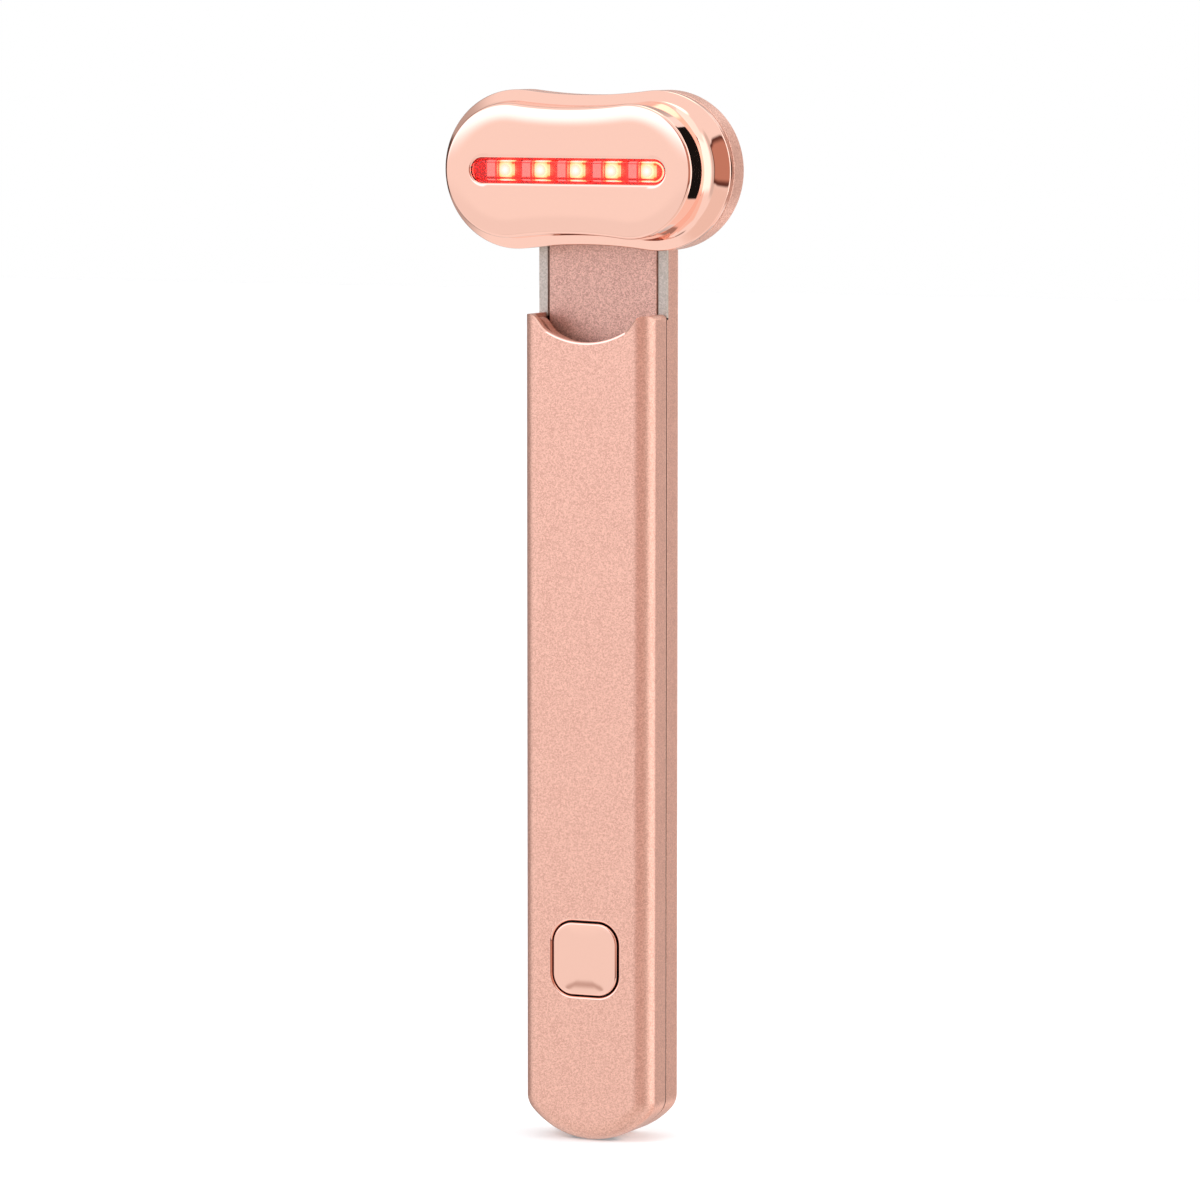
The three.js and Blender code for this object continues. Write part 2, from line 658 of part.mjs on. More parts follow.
// Spring washer: a flat ring whose face rises and falls as it goes round
function waveWasher() {
  const inside = swivel.shaftRadius + clearance;
  const outside = inside + swivel.washerWidth;
  const steps = 8 * swivel.washerWaves;
  const positions = [];
  const indices = [];
  for (let i = 0; i < steps; i += 1) {
    const angle = (2 * Math.PI * i) / steps;
    const lift = swivel.washerWave * Math.cos(angle * swivel.washerWaves);
    const front = baseBack + clearance / 2 + swivel.washerWave + lift;
    const rear = front + swivel.washerThickness;
    for (const [radius, y] of [[inside, front], [outside, front], [outside, rear], [inside, rear]]) {
      positions.push(radius * Math.cos(angle), y, pivotZ + radius * Math.sin(angle));
    }
    const here = 4 * i;
    const next = 4 * ((i + 1) % steps);
    for (let k = 0; k < 4; k += 1) {
      const side = (k + 1) % 4;
      indices.push(here + k, next + k, next + side, here + k, next + side, here + side);
    }
  }
  const geometry = new THREE.BufferGeometry();
  geometry.setAttribute('position', new THREE.Float32BufferAttribute(positions, 3));
  geometry.setIndex(indices);
  const points = [];
  for (let i = 0; i < positions.length; i += 3) points.push(positions.slice(i, i + 3));
  if (isInsideOut(points, indices)) geometry.setIndex(indices.reverse());
  return solidFrom(geometry);
}

function retainingRing() {
  const inside = swivel.grooveRadius + clearance;
  const outside = inside + swivel.ringWidth;
  const rear = ringFront + swivel.ringThickness;
  const ring = peg(0, pivotZ, outside, ringFront, rear, 32)
    .subtract(peg(0, pivotZ, inside, ringFront - overrun, rear + overrun, 32));
  const mouth = rectangle(-swivel.ringGap / 2, swivel.ringGap / 2, pivotZ, pivotZ + 2 * outside);
  return ring.subtract(plate(mouth, ringFront - overrun, rear + overrun));
}

// Head
function headStation(depth, share, inset) {
  return [face + depth, waisted(
    mix(head.plateEndCentre, head.rimEndCentre, share),
    mix(head.plateEndRadius, head.rimEndRadius, share),
    mix(head.plateWaist, head.rimWaist, share),
    inset,
  )];
}

// [depth, share of the way out] down the hollow cove, the straight shoulder and the rim's round
function flareSteps(coveSteps, rimSteps) {
  const reach = head.rimEndCentre + head.rimEndRadius - head.plateEndCentre - head.plateEndRadius;
  const { wall, cove, rimRound } = flareShares;
  const start = Math.atan2(wall * reach, head.wallDepth - head.edgeRound);
  const slope = radians(head.coveTurn);
  const coveRadius = (cove * reach) / (Math.cos(start) - Math.cos(slope));
  const rimRadius = (rimRound * reach) / (1 - Math.cos(slope));
  const rows = [];
  for (let i = 0; i <= coveSteps; i += 1) {
    const angle = mix(start, slope, i / coveSteps);
    rows.push([head.wallDepth + coveRadius * (Math.sin(angle) - Math.sin(start)),
      wall + (coveRadius * (Math.cos(start) - Math.cos(angle))) / reach]);
  }
  const shoulder = 1 - wall - cove - rimRound;
  const rimStart = rows.at(-1)[0] + (shoulder * reach) / Math.tan(slope);
  for (let i = 0; i <= rimSteps; i += 1) {
    const angle = mix(slope, 0, i / rimSteps);
    rows.push([rimStart + rimRadius * (Math.sin(slope) - Math.sin(angle)),
      1 - (rimRadius * (1 - Math.cos(angle))) / reach]);
  }
  return rows;
}

function ledBoardBosses() {
  const { bossX, bossZ } = ledBoard;
  return [[-bossX, pivotZ - bossZ], [bossX, pivotZ - bossZ],
    [-bossX, pivotZ + bossZ], [bossX, pivotZ + bossZ]];
}

function headShell() {
  const edge = edgeSteps(head.edgeRound, 3).map(([y, inset]) => headStation(y, 0, inset));
  const flare = flareSteps(3, 3).map(([y, share]) => headStation(y, share, 0));
  const shellEnd = head.seamDepth - clearance / 2;
  let shell = loft([...edge, ...flare, headStation(shellEnd, 1, 0)]);

  const wall = head.shellWall;
  const innerFlare = flareSteps(2, 1).map(([y, share]) => headStation(y + wall, share, wall));
  const cavity = loft([headStation(wall, 0, wall + head.edgeRound / 2),
    headStation(wall + head.edgeRound / 2, 0, wall), ...innerFlare,
    headStation(head.seamDepth + overrun, 1, wall)]);
  shell = shell.subtract(cavity).subtract(slotCutter());
  for (const [x, z] of ledBoardBosses()) {
    shell = shell.add(peg(x, z, screw.bossRadius, face + wall / 2, ledBoardFront));
    const bore = screw.shankRadius + clearance;
    shell = shell.subtract(peg(x, z, bore, face + wall, ledBoardFront + overrun, 12));
  }
  return shell;
}

function slotOutline(grow) {
  return stadium(0, pivotZ, slot.halfLength + grow, slot.halfHeight + grow);
}

function slotCutter() {
  const through = plate(slotOutline(0), face - overrun, face + head.shellWall + overrun);
  const widened = slotOutline(slot.bevel + overrun);
  return through.add(loft([[face - overrun, widened], [face + slot.bevel, slotOutline(0)]]));
}

function ledLens() {
  const seat = face + head.shellWall;
  const stem = plate(slotOutline(-clearance), face + lens.recess, seat + lens.flangeThickness / 2);
  const flange = plate(slotOutline(lens.flange), seat, seat + lens.flangeThickness);
  return stem.add(flange);
}

function ledCircuitBoard() {
  const outline = waisted(head.plateEndCentre, head.plateEndRadius, head.plateWaist, ledBoard.inset);
  let solid = plate(outline, ledBoardFront, ledBoardBack);
  for (const [x, z] of ledBoardBosses()) {
    const hole = peg(x, z, screw.shankRadius + clearance, face, ledBoardBack + overrun, 12);
    solid = solid.subtract(hole);
  }
  return solid;
}

function ledPlace(index) {
  return led.pitch * (index - (led.count - 1) / 2);
}

function redLed(x) {
  const y = ledBoardFront - led.height / 2;
  const body = block(led.size, led.height, led.size, x, y, pivotZ);
  const front = ledBoardFront - led.height - led.lensHeight;
  return body.add(peg(x, pivotZ, led.lensRadius, front, ledBoardFront - led.height / 2, 16));
}

function infraredLedSolid(x) {
  const { width, height, length } = infraredLed;
  return block(width, height, length, x, ledBoardFront - height / 2, pivotZ);
}

// Back cover, with a lip that steps in at the seam and enters the metal shell
function headCover() {
  const start = head.seamDepth + clearance / 2;
  const end = coverBack - face;
  const inside = coverInside - face;
  const lipOutside = head.shellWall + 2 * clearance;
  const lipInside = lipOutside + coverLip.thickness;
  const lipFront = start - coverLip.reach;
  const lipEnd = start + coverLip.seat;
  const edge = edgeSteps(head.coverRound, 3).reverse();
  const outside = loft([
    headStation(lipFront, 1, lipOutside), headStation(start, 1, lipOutside),
    headStation(start, 1, 0), ...edge.map(([y, inset]) => headStation(end - y, 1, inset)),
  ]);
  const cavity = loft([
    headStation(lipFront - overrun, 1, lipInside), headStation(lipEnd, 1, lipInside),
    headStation(lipEnd, 1, head.coverWall), headStation(inside, 1, head.coverWall),
  ]);
  let cover = outside.subtract(cavity);
  const shaftHole = peg(0, pivotZ, swivel.shaftRadius + clearance,
    coverInside - overrun, coverBack + overrun, 32);
  cover = cover.subtract(shaftHole);
  const stakeFront = flangeFront - clearance;
  for (const [x, z] of stakePlaces()) {
    cover = cover.add(peg(x, z, swivel.stakeRadius, stakeFront, coverInside + clearance, 12));
  }
  return cover;
}

// Button and its switch. The pusher ends where a full press still clears the switch.
const switchFront = board.frontDepth - tactSwitch.height;
const flangeSeat = handle.frontWall + clearance;
const flangeRear = flangeSeat + button.flangeThickness;
const pusherEnd = switchFront - clearance - button.travel;
const plungerRear = pusherEnd + clearance + tactSwitch.plungerLength;

function buttonCap() {
  const front = -button.proud;
  const crown = edgeSteps(button.edge, 3).map(([y, inset]) => [front + y, buttonOpening(-inset)]);
  const cap = loft([...crown, [flangeSeat + button.flangeThickness / 2, buttonOpening(0)]]);
  const flange = plate(buttonOpening(button.flange), flangeSeat, flangeRear);
  const pusherFront = flangeRear - button.flangeThickness / 2;
  const pusher = peg(0, buttonZ, button.pusherRadius, pusherFront, pusherEnd);
  return cap.add(flange).add(pusher);
}

function switchBody() {
  const { size, height, plungerRadius } = tactSwitch;
  const body = block(size, height, size, 0, board.frontDepth - height / 2, buttonZ);
  const boreEnd = plungerRear + button.travel + clearance / 2;
  return body.subtract(peg(0, buttonZ, plungerRadius + clearance, switchFront - overrun, boreEnd));
}

function switchPlunger() {
  return peg(0, buttonZ, tactSwitch.plungerRadius, pusherEnd + clearance, plungerRear);
}

// Electronics in the handle
function mainBoard() {
  const tab = board.tabWidth / 2;
  const outline = [[-tab, board.tabBottom], [tab, board.tabBottom], [tab, board.bottom],
    [boardHalf, board.bottom], [boardHalf, boardTop], [-boardHalf, boardTop],
    [-boardHalf, board.bottom], [-tab, board.bottom]];
  let solid = plate(outline, board.frontDepth, boardBack);
  for (const [x, z] of boardBossPlaces()) {
    const hole = peg(x, z, screw.shankRadius + clearance, 0, boardBack + overrun, 12);
    solid = solid.subtract(hole);
  }
  return solid;
}

function onBoard({ width, length, height }, x, z) {
  return block(width, height, length, x, boardBack + height / 2, z);
}

function chip(name) {
  return onBoard(chips[name], chips[name].x, mix(board.bottom, boardTop, chipHeightShares[name]));
}

function portShell() {
  const cavity = portPrism(-port.wall, port.mouth - overrun, port.mouth + port.length - port.wall * 2);
  return portPrism(0, port.mouth, port.mouth + port.length).subtract(cavity);
}

function portTongue() {
  const bottom = port.mouth + port.tongueRecess;
  const top = port.mouth + port.length - port.wall * 2;
  const { tongueWidth, tongueThickness } = port;
  return block(tongueWidth, tongueThickness, top - bottom, 0, portDepth, (top + bottom) / 2);
}

function batteryCell() {
  const { thickness, length, round } = battery;
  const front = batteryBack - thickness;
  const edge = edgeSteps(round, 3);
  const outline = (inset) => roundedRectangle(0, batteryFoot + length / 2,
    2 * (batteryHalf - inset), length - 2 * inset, round * 2 - inset, 3);
  const rows = [
    ...edge.map(([y, inset]) => [front + y, outline(inset)]),
    ...edge.slice().reverse().map(([y, inset]) => [batteryBack - y, outline(inset)]),
  ];
  return loft(rows);
}

function batteryPad() {
  const middle = batteryFoot + battery.length / 2;
  const reach = (battery.length / 2) * padLengthShare;
  const side = batteryHalf - battery.round * 2;
  return plate(rectangle(-side, side, middle - reach, middle + reach), batteryBack, floor);
}

function tube(points, radius, steps, sides = 8) {
  const curve = new THREE.CatmullRomCurve3(points.map((point) => new THREE.Vector3(...point)),
    false, 'centripetal');
  const section = new THREE.Shape(circle(0, 0, radius, sides).map(([x, y]) => new THREE.Vector2(x, y)));
  return solidFrom(new THREE.ExtrudeGeometry(section, { steps, extrudePath: curve, bevelEnabled: false }));
}

function batteryLead(side) {
  const x = (side * lead.spacing) / 2;
  const start = batteryFoot - clearance;
  const middle = batteryBack - battery.thickness / 2;
  const boardSide = boardBack + lead.radius + clearance;
  return tube([
    [x, middle, start], [x, middle, start - cradleRib.thickness],
    [x, boardSide, boardTop - lead.radius], [x, boardSide, boardTop - lead.landing],
  ], lead.radius, 10, 8);
}

// Vibration motor
function motorCan() {
  const half = motor.length / 2;
  const can = rod(motor.radius, motor.x - half, motor.x + half, motorDepth, motorZ, 24);
  const face0 = motor.x + half;
  const bore = rod(motor.boreRadius, face0 - motor.boreDepth, face0 + overrun,
    motorDepth, motorZ, 12);
  return can.subtract(bore);
}

function motorBoot() {
  const half = boot.length / 2;
  const outside = rod(bootRadius, motor.x - half, motor.x + half, motorDepth, motorZ, 24);
  const reach = half + overrun;
  const inside = rod(motor.radius + clearance, motor.x - reach, motor.x + reach,
    motorDepth, motorZ, 24);
  return outside.subtract(inside);
}

const motorFace = motor.x + motor.length / 2;

function motorSpindle() {
  const left = motorFace - motorShaft.seat;
  return rod(motorShaft.radius, left, motorFace + motorShaft.reach, motorDepth, motorZ, 12);
}

// Half-round weight that shakes the handle as it spins
function eccentricWeight() {
  const left = motorFace + weight.start;
  const right = left + weight.thickness;
  const disc = rod(weight.radius, left, right, motorDepth, motorZ, 24);
  const upper = block(weight.thickness + 2 * overrun, 2 * weight.radius, weight.radius,
    (left + right) / 2, motorDepth, motorZ + weight.radius / 2);
  const hub = rod(weight.hub, left, right, motorDepth, motorZ, 16);
  const bore = rod(motorShaft.radius + clearance, left - overrun, right + overrun,
    motorDepth, motorZ, 12);
  return disc.subtract(upper).add(hub).subtract(bore);
}

// Wires from the main board up the neck and through the hollow shaft to the LED board
function headCable() {
  const start = ledBoardBack + ledConnector.height + clearance;
  const run = shaftEnd + clearance + cable.radius;
  const bendStart = run - cable.bend;
  const bend = arc(bendStart, pivotZ - cable.bend, cable.bend, 90, 0, 4).map(([y, z]) => [0, y, z]);
  const level = baseBack + 2 * clearance + cable.radius;
  const boardSide = boardBack + boardConnector.height / 2;
  const connectorTop = boardTop - clearance;
  const aside = cableShares.map(({ out, back: rear, drop }) => [
    cableSide * out, mix(run, level, rear), pivotZ - neck.yoke * drop]);
  return tube([
    [0, start, pivotZ], [0, mix(start, bendStart, 0.5), pivotZ], ...bend,
    [0, run, pivotZ - neck.yoke], ...aside,
    [cableSide * cableSlackShare, level, motorZ + saddleRadius], [cableSide, level, motorZ - saddleRadius],
    [cableSide, level, mix(batteryFoot, batteryTop, 0.5)], [cableSide, level, batteryFoot],
    [connectorX, boardSide, connectorTop + cable.bend], [connectorX, boardSide, connectorTop],
  ], cable.radius, 38, 6);
}

// Assembly
const wand = new THREE.Group();
wand.position.y = (head.standOff - back) / 2;

function piece(parent, name, solid, colour) {
  const material = new THREE.MeshStandardMaterial(colour);
  const mesh = new THREE.Mesh(geometryFrom(solid), material);
  mesh.name = name;
  parent.add(mesh);
}

function buildHandle(parent) {
  piece(parent, 'front_shell', frontShell(), colours.rosePaint);
  piece(parent, 'back_shell', backShell(), colours.rosePaint);
  piece(parent, 'scoop_liner', scoopLiner(), colours.rosePaint);
  piece(parent, 'neck_frame', neckFrame(), colours.silver);
  piece(parent, 'neck_panel', neckPanel(), colours.rosePaint);
  frameScrewPlaces().forEach(([x, z], i) => {
    const solid = screwSolid(x, z, panelBack + screw.recess, frameScrew.length);
    piece(parent, `frame_screw_${i + 1}`, solid, colours.steel);
  });
}

function buildElectronics(parent) {
  piece(parent, 'main_board', mainBoard(), colours.circuit);
  boardBossPlaces().forEach(([x, z], i) => {
    const solid = screwSolid(x, z, boardBack + screw.headHeight, boardScrew.length, -1);
    piece(parent, `board_screw_${i + 1}`, solid, colours.steel);
  });
  piece(parent, 'controller_chip', chip('controller'), colours.black);
  piece(parent, 'charger_chip', chip('charger'), colours.black);
  piece(parent, 'power_inductor', chip('inductor'), colours.foam);
  const connectorZ = boardTop - clearance * 2 - boardConnector.length / 2;
  const connector = onBoard(boardConnector, connectorX, connectorZ);
  piece(parent, 'board_connector', connector, colours.white);
  piece(parent, 'charging_port_shell', portShell(), colours.steel);
  piece(parent, 'charging_port_tongue', portTongue(), colours.black);
  piece(parent, 'switch_body', switchBody(), colours.black);
  piece(parent, 'battery_cell', batteryCell(), colours.foil);
  piece(parent, 'battery_pad', batteryPad(), colours.foam);
  piece(parent, 'battery_lead_red', batteryLead(-1), colours.red);
  piece(parent, 'battery_lead_black', batteryLead(1), colours.black);
  piece(parent, 'head_cable', headCable(), colours.black);
}

function buildMotor(parent) {
  piece(parent, 'motor_can', motorCan(), colours.steel);
  piece(parent, 'motor_boot', motorBoot(), colours.black);
  piece(parent, 'motor_spindle', motorSpindle(), colours.steel);
  piece(parent, 'eccentric_weight', eccentricWeight(), colours.brass);
}

function buildButton(parent) {
  piece(parent, 'button_cap', buttonCap(), colours.roseChrome);
  piece(parent, 'switch_plunger', switchPlunger(), colours.black);
}

function buildSwivel(parent) {
  piece(parent, 'pivot_bush', pivotBush(), colours.white);
  piece(parent, 'wave_washer', waveWasher(), colours.steel);
  piece(parent, 'pivot_shaft', pivotShaft(), colours.steel);
  piece(parent, 'retaining_ring', retainingRing(), colours.steel);
}

function buildHead(parent) {
  piece(parent, 'head_shell', headShell(), colours.roseChrome);
  piece(parent, 'head_cover', headCover(), colours.rosePaint);
  piece(parent, 'led_window', ledLens(), colours.redLens);
  piece(parent, 'led_board', ledCircuitBoard(), colours.white);
  ledBoardBosses().forEach(([x, z], i) => {
    const solid = screwSolid(x, z, ledBoardBack + screw.headHeight, ledBoardScrew.length, -1);
    piece(parent, `led_board_screw_${i + 1}`, solid, colours.steel);
  });
  const { width, length, height } = ledConnector;
  const connector = block(width, height, length, 0, ledBoardBack + height / 2, pivotZ);
  piece(parent, 'led_connector', connector, colours.white);
  for (let i = 0; i < led.count; i += 1) {
    const x = ledPlace(i);
    piece(parent, `red_led_${i + 1}`, redLed(x), colours.glow);
    piece(parent, `infrared_led_${i + 1}`, infraredLedSolid(x - infraredLed.offset), colours.palePink);
  }
}

buildHandle(wand);
buildElectronics(wand);
buildMotor(wand);
buildButton(wand);
buildSwivel(wand);
buildHead(wand);

export default wand;
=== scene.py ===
"""Looks of the light therapy wand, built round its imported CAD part.

Lengths here are millimetres. Depth is measured back from the handle's front face.
"""

import json
import math

import bmesh
import bpy
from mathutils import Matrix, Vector


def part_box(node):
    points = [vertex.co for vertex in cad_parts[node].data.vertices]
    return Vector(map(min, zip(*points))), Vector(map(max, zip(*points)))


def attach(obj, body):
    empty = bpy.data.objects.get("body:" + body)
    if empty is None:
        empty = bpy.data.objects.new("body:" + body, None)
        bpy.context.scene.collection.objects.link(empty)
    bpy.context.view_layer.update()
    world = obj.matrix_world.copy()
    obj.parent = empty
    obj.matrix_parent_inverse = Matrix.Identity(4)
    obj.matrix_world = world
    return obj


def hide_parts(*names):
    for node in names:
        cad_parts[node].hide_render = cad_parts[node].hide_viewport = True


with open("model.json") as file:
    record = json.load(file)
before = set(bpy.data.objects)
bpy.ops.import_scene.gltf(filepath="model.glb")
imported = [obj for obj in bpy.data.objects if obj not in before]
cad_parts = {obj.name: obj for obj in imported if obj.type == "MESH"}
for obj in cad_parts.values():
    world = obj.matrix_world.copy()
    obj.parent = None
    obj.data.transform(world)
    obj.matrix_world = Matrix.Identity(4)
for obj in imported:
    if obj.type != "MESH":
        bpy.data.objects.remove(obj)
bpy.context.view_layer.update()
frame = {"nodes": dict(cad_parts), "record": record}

MM = 0.001
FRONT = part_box("front_shell")[0].y / MM   # where the handle's front face lies
CLEARANCE = 0.3
OVERRUN = 1.0

HALF_WIDTH = 12.0
SEAM = 7.5
BACK = 14.0
PIVOT = 167.4
END_RADIUS = 15.0
END_CORNER = 4.0
FRONT_ROUND = 3.1
BACK_ROUND = 2.2
FRONT_WALL = 1.4
BACK_SIDE_WALL = 1.0
BACK_FLOOR = 1.4
SEAM_BEVEL = 0.2                # of the head's seam
HANDLE_BEVEL = 0.1              # of the handle's seam

SCOOP_FLOOR = 138.0
SCOOP_RADIUS = 15.0
SCOOP_TURN = 28
RISE_RADIUS = 4.0
RISE_TURN = 52
RISE_RUN = 1.3
EAR_RADIUS = 2.2
EAR_CORNER = 1.0
SCOOP_BEVEL, SCOOP_BEVEL_DEPTH = 0.38, 0.2   # polished edge of the scoop
# Lip that closes the seam from inside: reach to each side of the seam, and where its inner and
# outer faces lie from the inside of the front shell's wall
LIP_REACH, LIP_INNER, LIP_OUTER = 1.2, 0.6, 0.1
LINER = {"groove_end": 3.3, "rib_end": 5.4, "groove_drop": 1.8, "rib_drop": 0.6, "foot": 3.4}
SHOULDER_OVERLAP = 0.6

PANEL_THICKNESS = 0.6
PANEL_REACH = 10.07
PANEL_FOOT = 129.75
PANEL_BEVEL = 0.12
PANEL_HOLE = 6.5

FACE = -7.5
RIM = (13.05, 13.6, 12.75)      # end centre, end radius, half height in the middle
PLATE = (11.4, 11.4, 10.65)
WALL_END = 4.5
COVE_TURN = math.radians(57)    # slope of the shoulder from straight back
# From the plate's outline to the rim's the round ends first spread apart, then grow.
# Shares of both at the foot of the steep wall, at the cove's end and where the rim's round starts
WALL_SPREAD, WALL_GROWTH, COVE_GROWTH, RIM_GROWTH = 0.2, 0.08, 0.2, 0.92
AT_PLATE, AT_RIM = (0, 0), (1, 1)
HEAD_SEAM = 9.6
HEAD_WALL = 1.2
EDGE_RADIUS = 0.5
CROWN_DROP = 0.12               # how far the treatment face falls towards its edge
CROWN_WIDTH = 3.6
COVER_END = 14.7
COVER_FLOOR = 1.4
COVER_ROUND = 1.0
# Lip of the cover inside the head: thickness, and reach behind the cover's edge and ahead of it
COVER_LIP = {"thickness": 0.9, "behind": 1.2, "ahead": 0.8}
SHAFT_HOLE = 4.0

SLOT_LENGTH = 18.0
SLOT_HEIGHT = 2.1
SLOT_BEVEL = 0.35
LENS_RECESS = 0.5
LENS_ROUND = 0.4
LENS_FLANGE = 1.2
LENS_END = 2.44                 # 0.06 short of the solid's rear

BUTTON = {"width": 11.9, "height": 12.5, "corner": 3.6, "z": 31.8, "proud": 0.3, "edge": 0.3}
BUTTON_FLANGE, BUTTON_FLANGE_THICKNESS = 0.9, 0.8
BUTTON_DOME = 0.16
OPENING_BEVEL = 0.4
# The port's centre lies at its depth, and its hole is cut this far up the handle
PORT = {"width": 8.94, "thickness": 3.2, "depth": 4.4, "cut": 6.0}

SHARP_EDGE = 32                 # degrees
NORMAL_WEIGHT = 80
# Size of a normal's part along an axis, from which a face counts as flat, or as leaning that way
FLAT, NEARLY_FLAT, LEANS_FORWARD, LEANS_UP = 0.995, 0.9, 0.05, 0.08
END_STEPS = 64                  # steps round each end of a closed outline
SIDE_STEPS = 28                 # steps along each of its sides


# Outlines: [x, z] points, anticlockwise seen from the front
def arc(x, z, radius, start, end, steps):
    turns = (math.radians(start + (end - start) * i / steps) for i in range(steps + 1))
    return [(x + radius * math.cos(a), z + radius * math.sin(a)) for a in turns]


def ringed(right, top, left, bottom):
    """Four runs of points as one outline, each run without its last point."""
    return [*right[:-1], *top[:-1], *left[:-1], *bottom[:-1]]


def straight(start, end, steps):
    return [(start[0] + (end[0] - start[0]) * i / steps, start[1] + (end[1] - start[1]) * i / steps)
            for i in range(steps + 1)]


def waisted(end_centre, end_radius, waist, inset=0.0):
    hollow = (end_centre**2 + waist**2 - end_radius**2) / (2 * (end_radius - waist))
    turn = math.degrees(math.atan2(waist + hollow, -end_centre))
    ends, middle = end_radius - inset, hollow + inset
    return ringed(
        arc(end_centre, PIVOT, ends, -turn, turn, END_STEPS),
        arc(0, PIVOT + waist + hollow, middle, turn - 180, -turn, SIDE_STEPS),
        arc(-end_centre, PIVOT, ends, 180 - turn, 180 + turn, END_STEPS),
        arc(0, PIVOT - waist - hollow, middle, turn, 180 - turn, SIDE_STEPS),
    )


def slot_outline(grow):
    reach, half = SLOT_LENGTH - SLOT_HEIGHT, SLOT_HEIGHT + grow
    right = arc(reach, PIVOT, half, -90, 90, END_STEPS)
    left = arc(-reach, PIVOT, half, 90, 270, END_STEPS)
    return ringed(right, straight(right[-1], left[0], SIDE_STEPS), left,
                  straight(left[-1], right[0], SIDE_STEPS))


def round_outline(radius):
    spread = 60
    return ringed(
        arc(0, PIVOT, radius, -spread, spread, END_STEPS),
        arc(0, PIVOT, radius, spread, 180 - spread, SIDE_STEPS),
        arc(0, PIVOT, radius, 180 - spread, 180 + spread, END_STEPS),
        arc(0, PIVOT, radius, 180 + spread, 360 - spread, SIDE_STEPS),
    )


def between(one, other, share):
    return [(a + (c - a) * share, b + (d - b) * share) for (a, b), (c, d) in zip(one, other)]


def rounded_square(grow):
    steps = 14
    width, height = BUTTON["width"] / 2 + grow, BUTTON["height"] / 2 + grow
    radius = BUTTON["corner"] + grow
    dx, dz, z = width - radius, height - radius, BUTTON["z"]
    return [*arc(dx, z - dz, radius, -90, 0, steps), *arc(dx, z + dz, radius, 0, 90, steps),
            *arc(-dx, z + dz, radius, 90, 180, steps), *arc(-dx, z - dz, radius, 180, 270, steps)]


def handle_end(inset):
    corner_x = HALF_WIDTH - END_CORNER
    spread = END_RADIUS - END_CORNER
    corner_z = END_RADIUS - math.sqrt(spread**2 - corner_x**2)
    turn = math.degrees(math.asin(corner_x / spread))
    return [
        *arc(-corner_x, corner_z, END_CORNER - inset, 180, 270 - turn, 10),
        *arc(0, END_RADIUS, END_RADIUS - inset, 270 - turn, 270 + turn, 36)[1:-1],
        *arc(corner_x, corner_z, END_CORNER - inset, 270 + turn, 360, 10),
    ]


def handle_outline(inset, top):
    return [*handle_end(inset), (HALF_WIDTH - inset, top), (inset - HALF_WIDTH, top)]


def wand_outline(inset):
    return [*handle_end(inset), *arc(0, PIVOT, HALF_WIDTH - inset, 0, 180, 72)]


def tongue(reach, foot):
    return [(-reach, foot), (reach, foot), *arc(0, PIVOT, reach, 0, 180, 64)]


def scoop_half():
    floor = arc(0, SCOOP_FLOOR + SCOOP_RADIUS, SCOOP_RADIUS, 270, 270 + SCOOP_TURN, 22)
    tilt, slope = math.radians(SCOOP_TURN), math.radians(RISE_TURN)
    rise_x = floor[-1][0] - RISE_RADIUS * math.sin(tilt)
    rise_z = floor[-1][1] + RISE_RADIUS * math.cos(tilt)
    rise = arc(rise_x, rise_z, RISE_RADIUS, 270 + SCOOP_TURN, 270 + RISE_TURN, 10)
    start_x = rise[-1][0] + RISE_RUN * math.cos(slope)
    start_z = rise[-1][1] + RISE_RUN * math.sin(slope)
    ear = arc(start_x + EAR_RADIUS * math.sin(slope), start_z - EAR_RADIUS * math.cos(slope),
              EAR_RADIUS, 90 + RISE_TURN, 90, 14)
    return [*floor, *rise[1:], *ear]


EAR_TOP = scoop_half()[-1][1]
SHOULDER = EAR_TOP - SHOULDER_OVERLAP


def scoop_line(drop):
    right = [(x, z - drop) for x, z in scoop_half()]
    return [*((-x, z) for x, z in reversed(right[1:])), *right]


# Meshes
def mesh_object(name, points, faces):
    mesh = bpy.data.meshes.new(name)
    mesh.from_pydata([Vector(p) * MM for p in points], [], faces)
    shape = bmesh.new()
    shape.from_mesh(mesh)
    bmesh.ops.recalc_face_normals(shape, faces=shape.faces)
    shape.to_mesh(mesh)
    shape.free()
    made = bpy.data.objects.new(name, mesh)
    bpy.context.scene.collection.objects.link(made)
    return made


def loft(name, rows, ring=False):
    """Skins [depth, outline] rows. A ring joins its last row to its first; else both ends close."""
    count, total = len(rows[0][1]), len(rows)
    points = [(x, FRONT + depth, z) for depth, outline in rows for x, z in outline]
    faces = []
    for row in range(total if ring else total - 1):
        here, there = row * count, (row + 1) % total * count
        for i in range(count):
            after = (i + 1) % count
            faces.append((here + i, here + after, there + after, there + i))
    if not ring:
        faces += [list(range(count)), list(range((total - 1) * count, total * count))]
    return mesh_object(name, points, faces)


def combine(target, other, operation):
    change = target.modifiers.new("combine", "BOOLEAN")
    change.object, change.operation, change.solver = other, operation, "EXACT"
    shape = target.evaluated_get(bpy.context.evaluated_depsgraph_get())
    mesh = bpy.data.meshes.new_from_object(shape)
    target.modifiers.clear()
    target.data = mesh
    bpy.data.objects.remove(other)
    return target


def shade(piece):
    """Smooth shading that keeps flat faces flat and edges over SHARP_EDGE sharp."""
    piece.data.polygons.foreach_set("use_smooth", [True] * len(piece.data.polygons))
    piece.data.set_sharp_from_angle(angle=math.radians(SHARP_EDGE))
    weighted = piece.modifiers.new("weighted", "WEIGHTED_NORMAL")
    weighted.keep_sharp = True
    weighted.weight = NORMAL_WEIGHT
    return piece


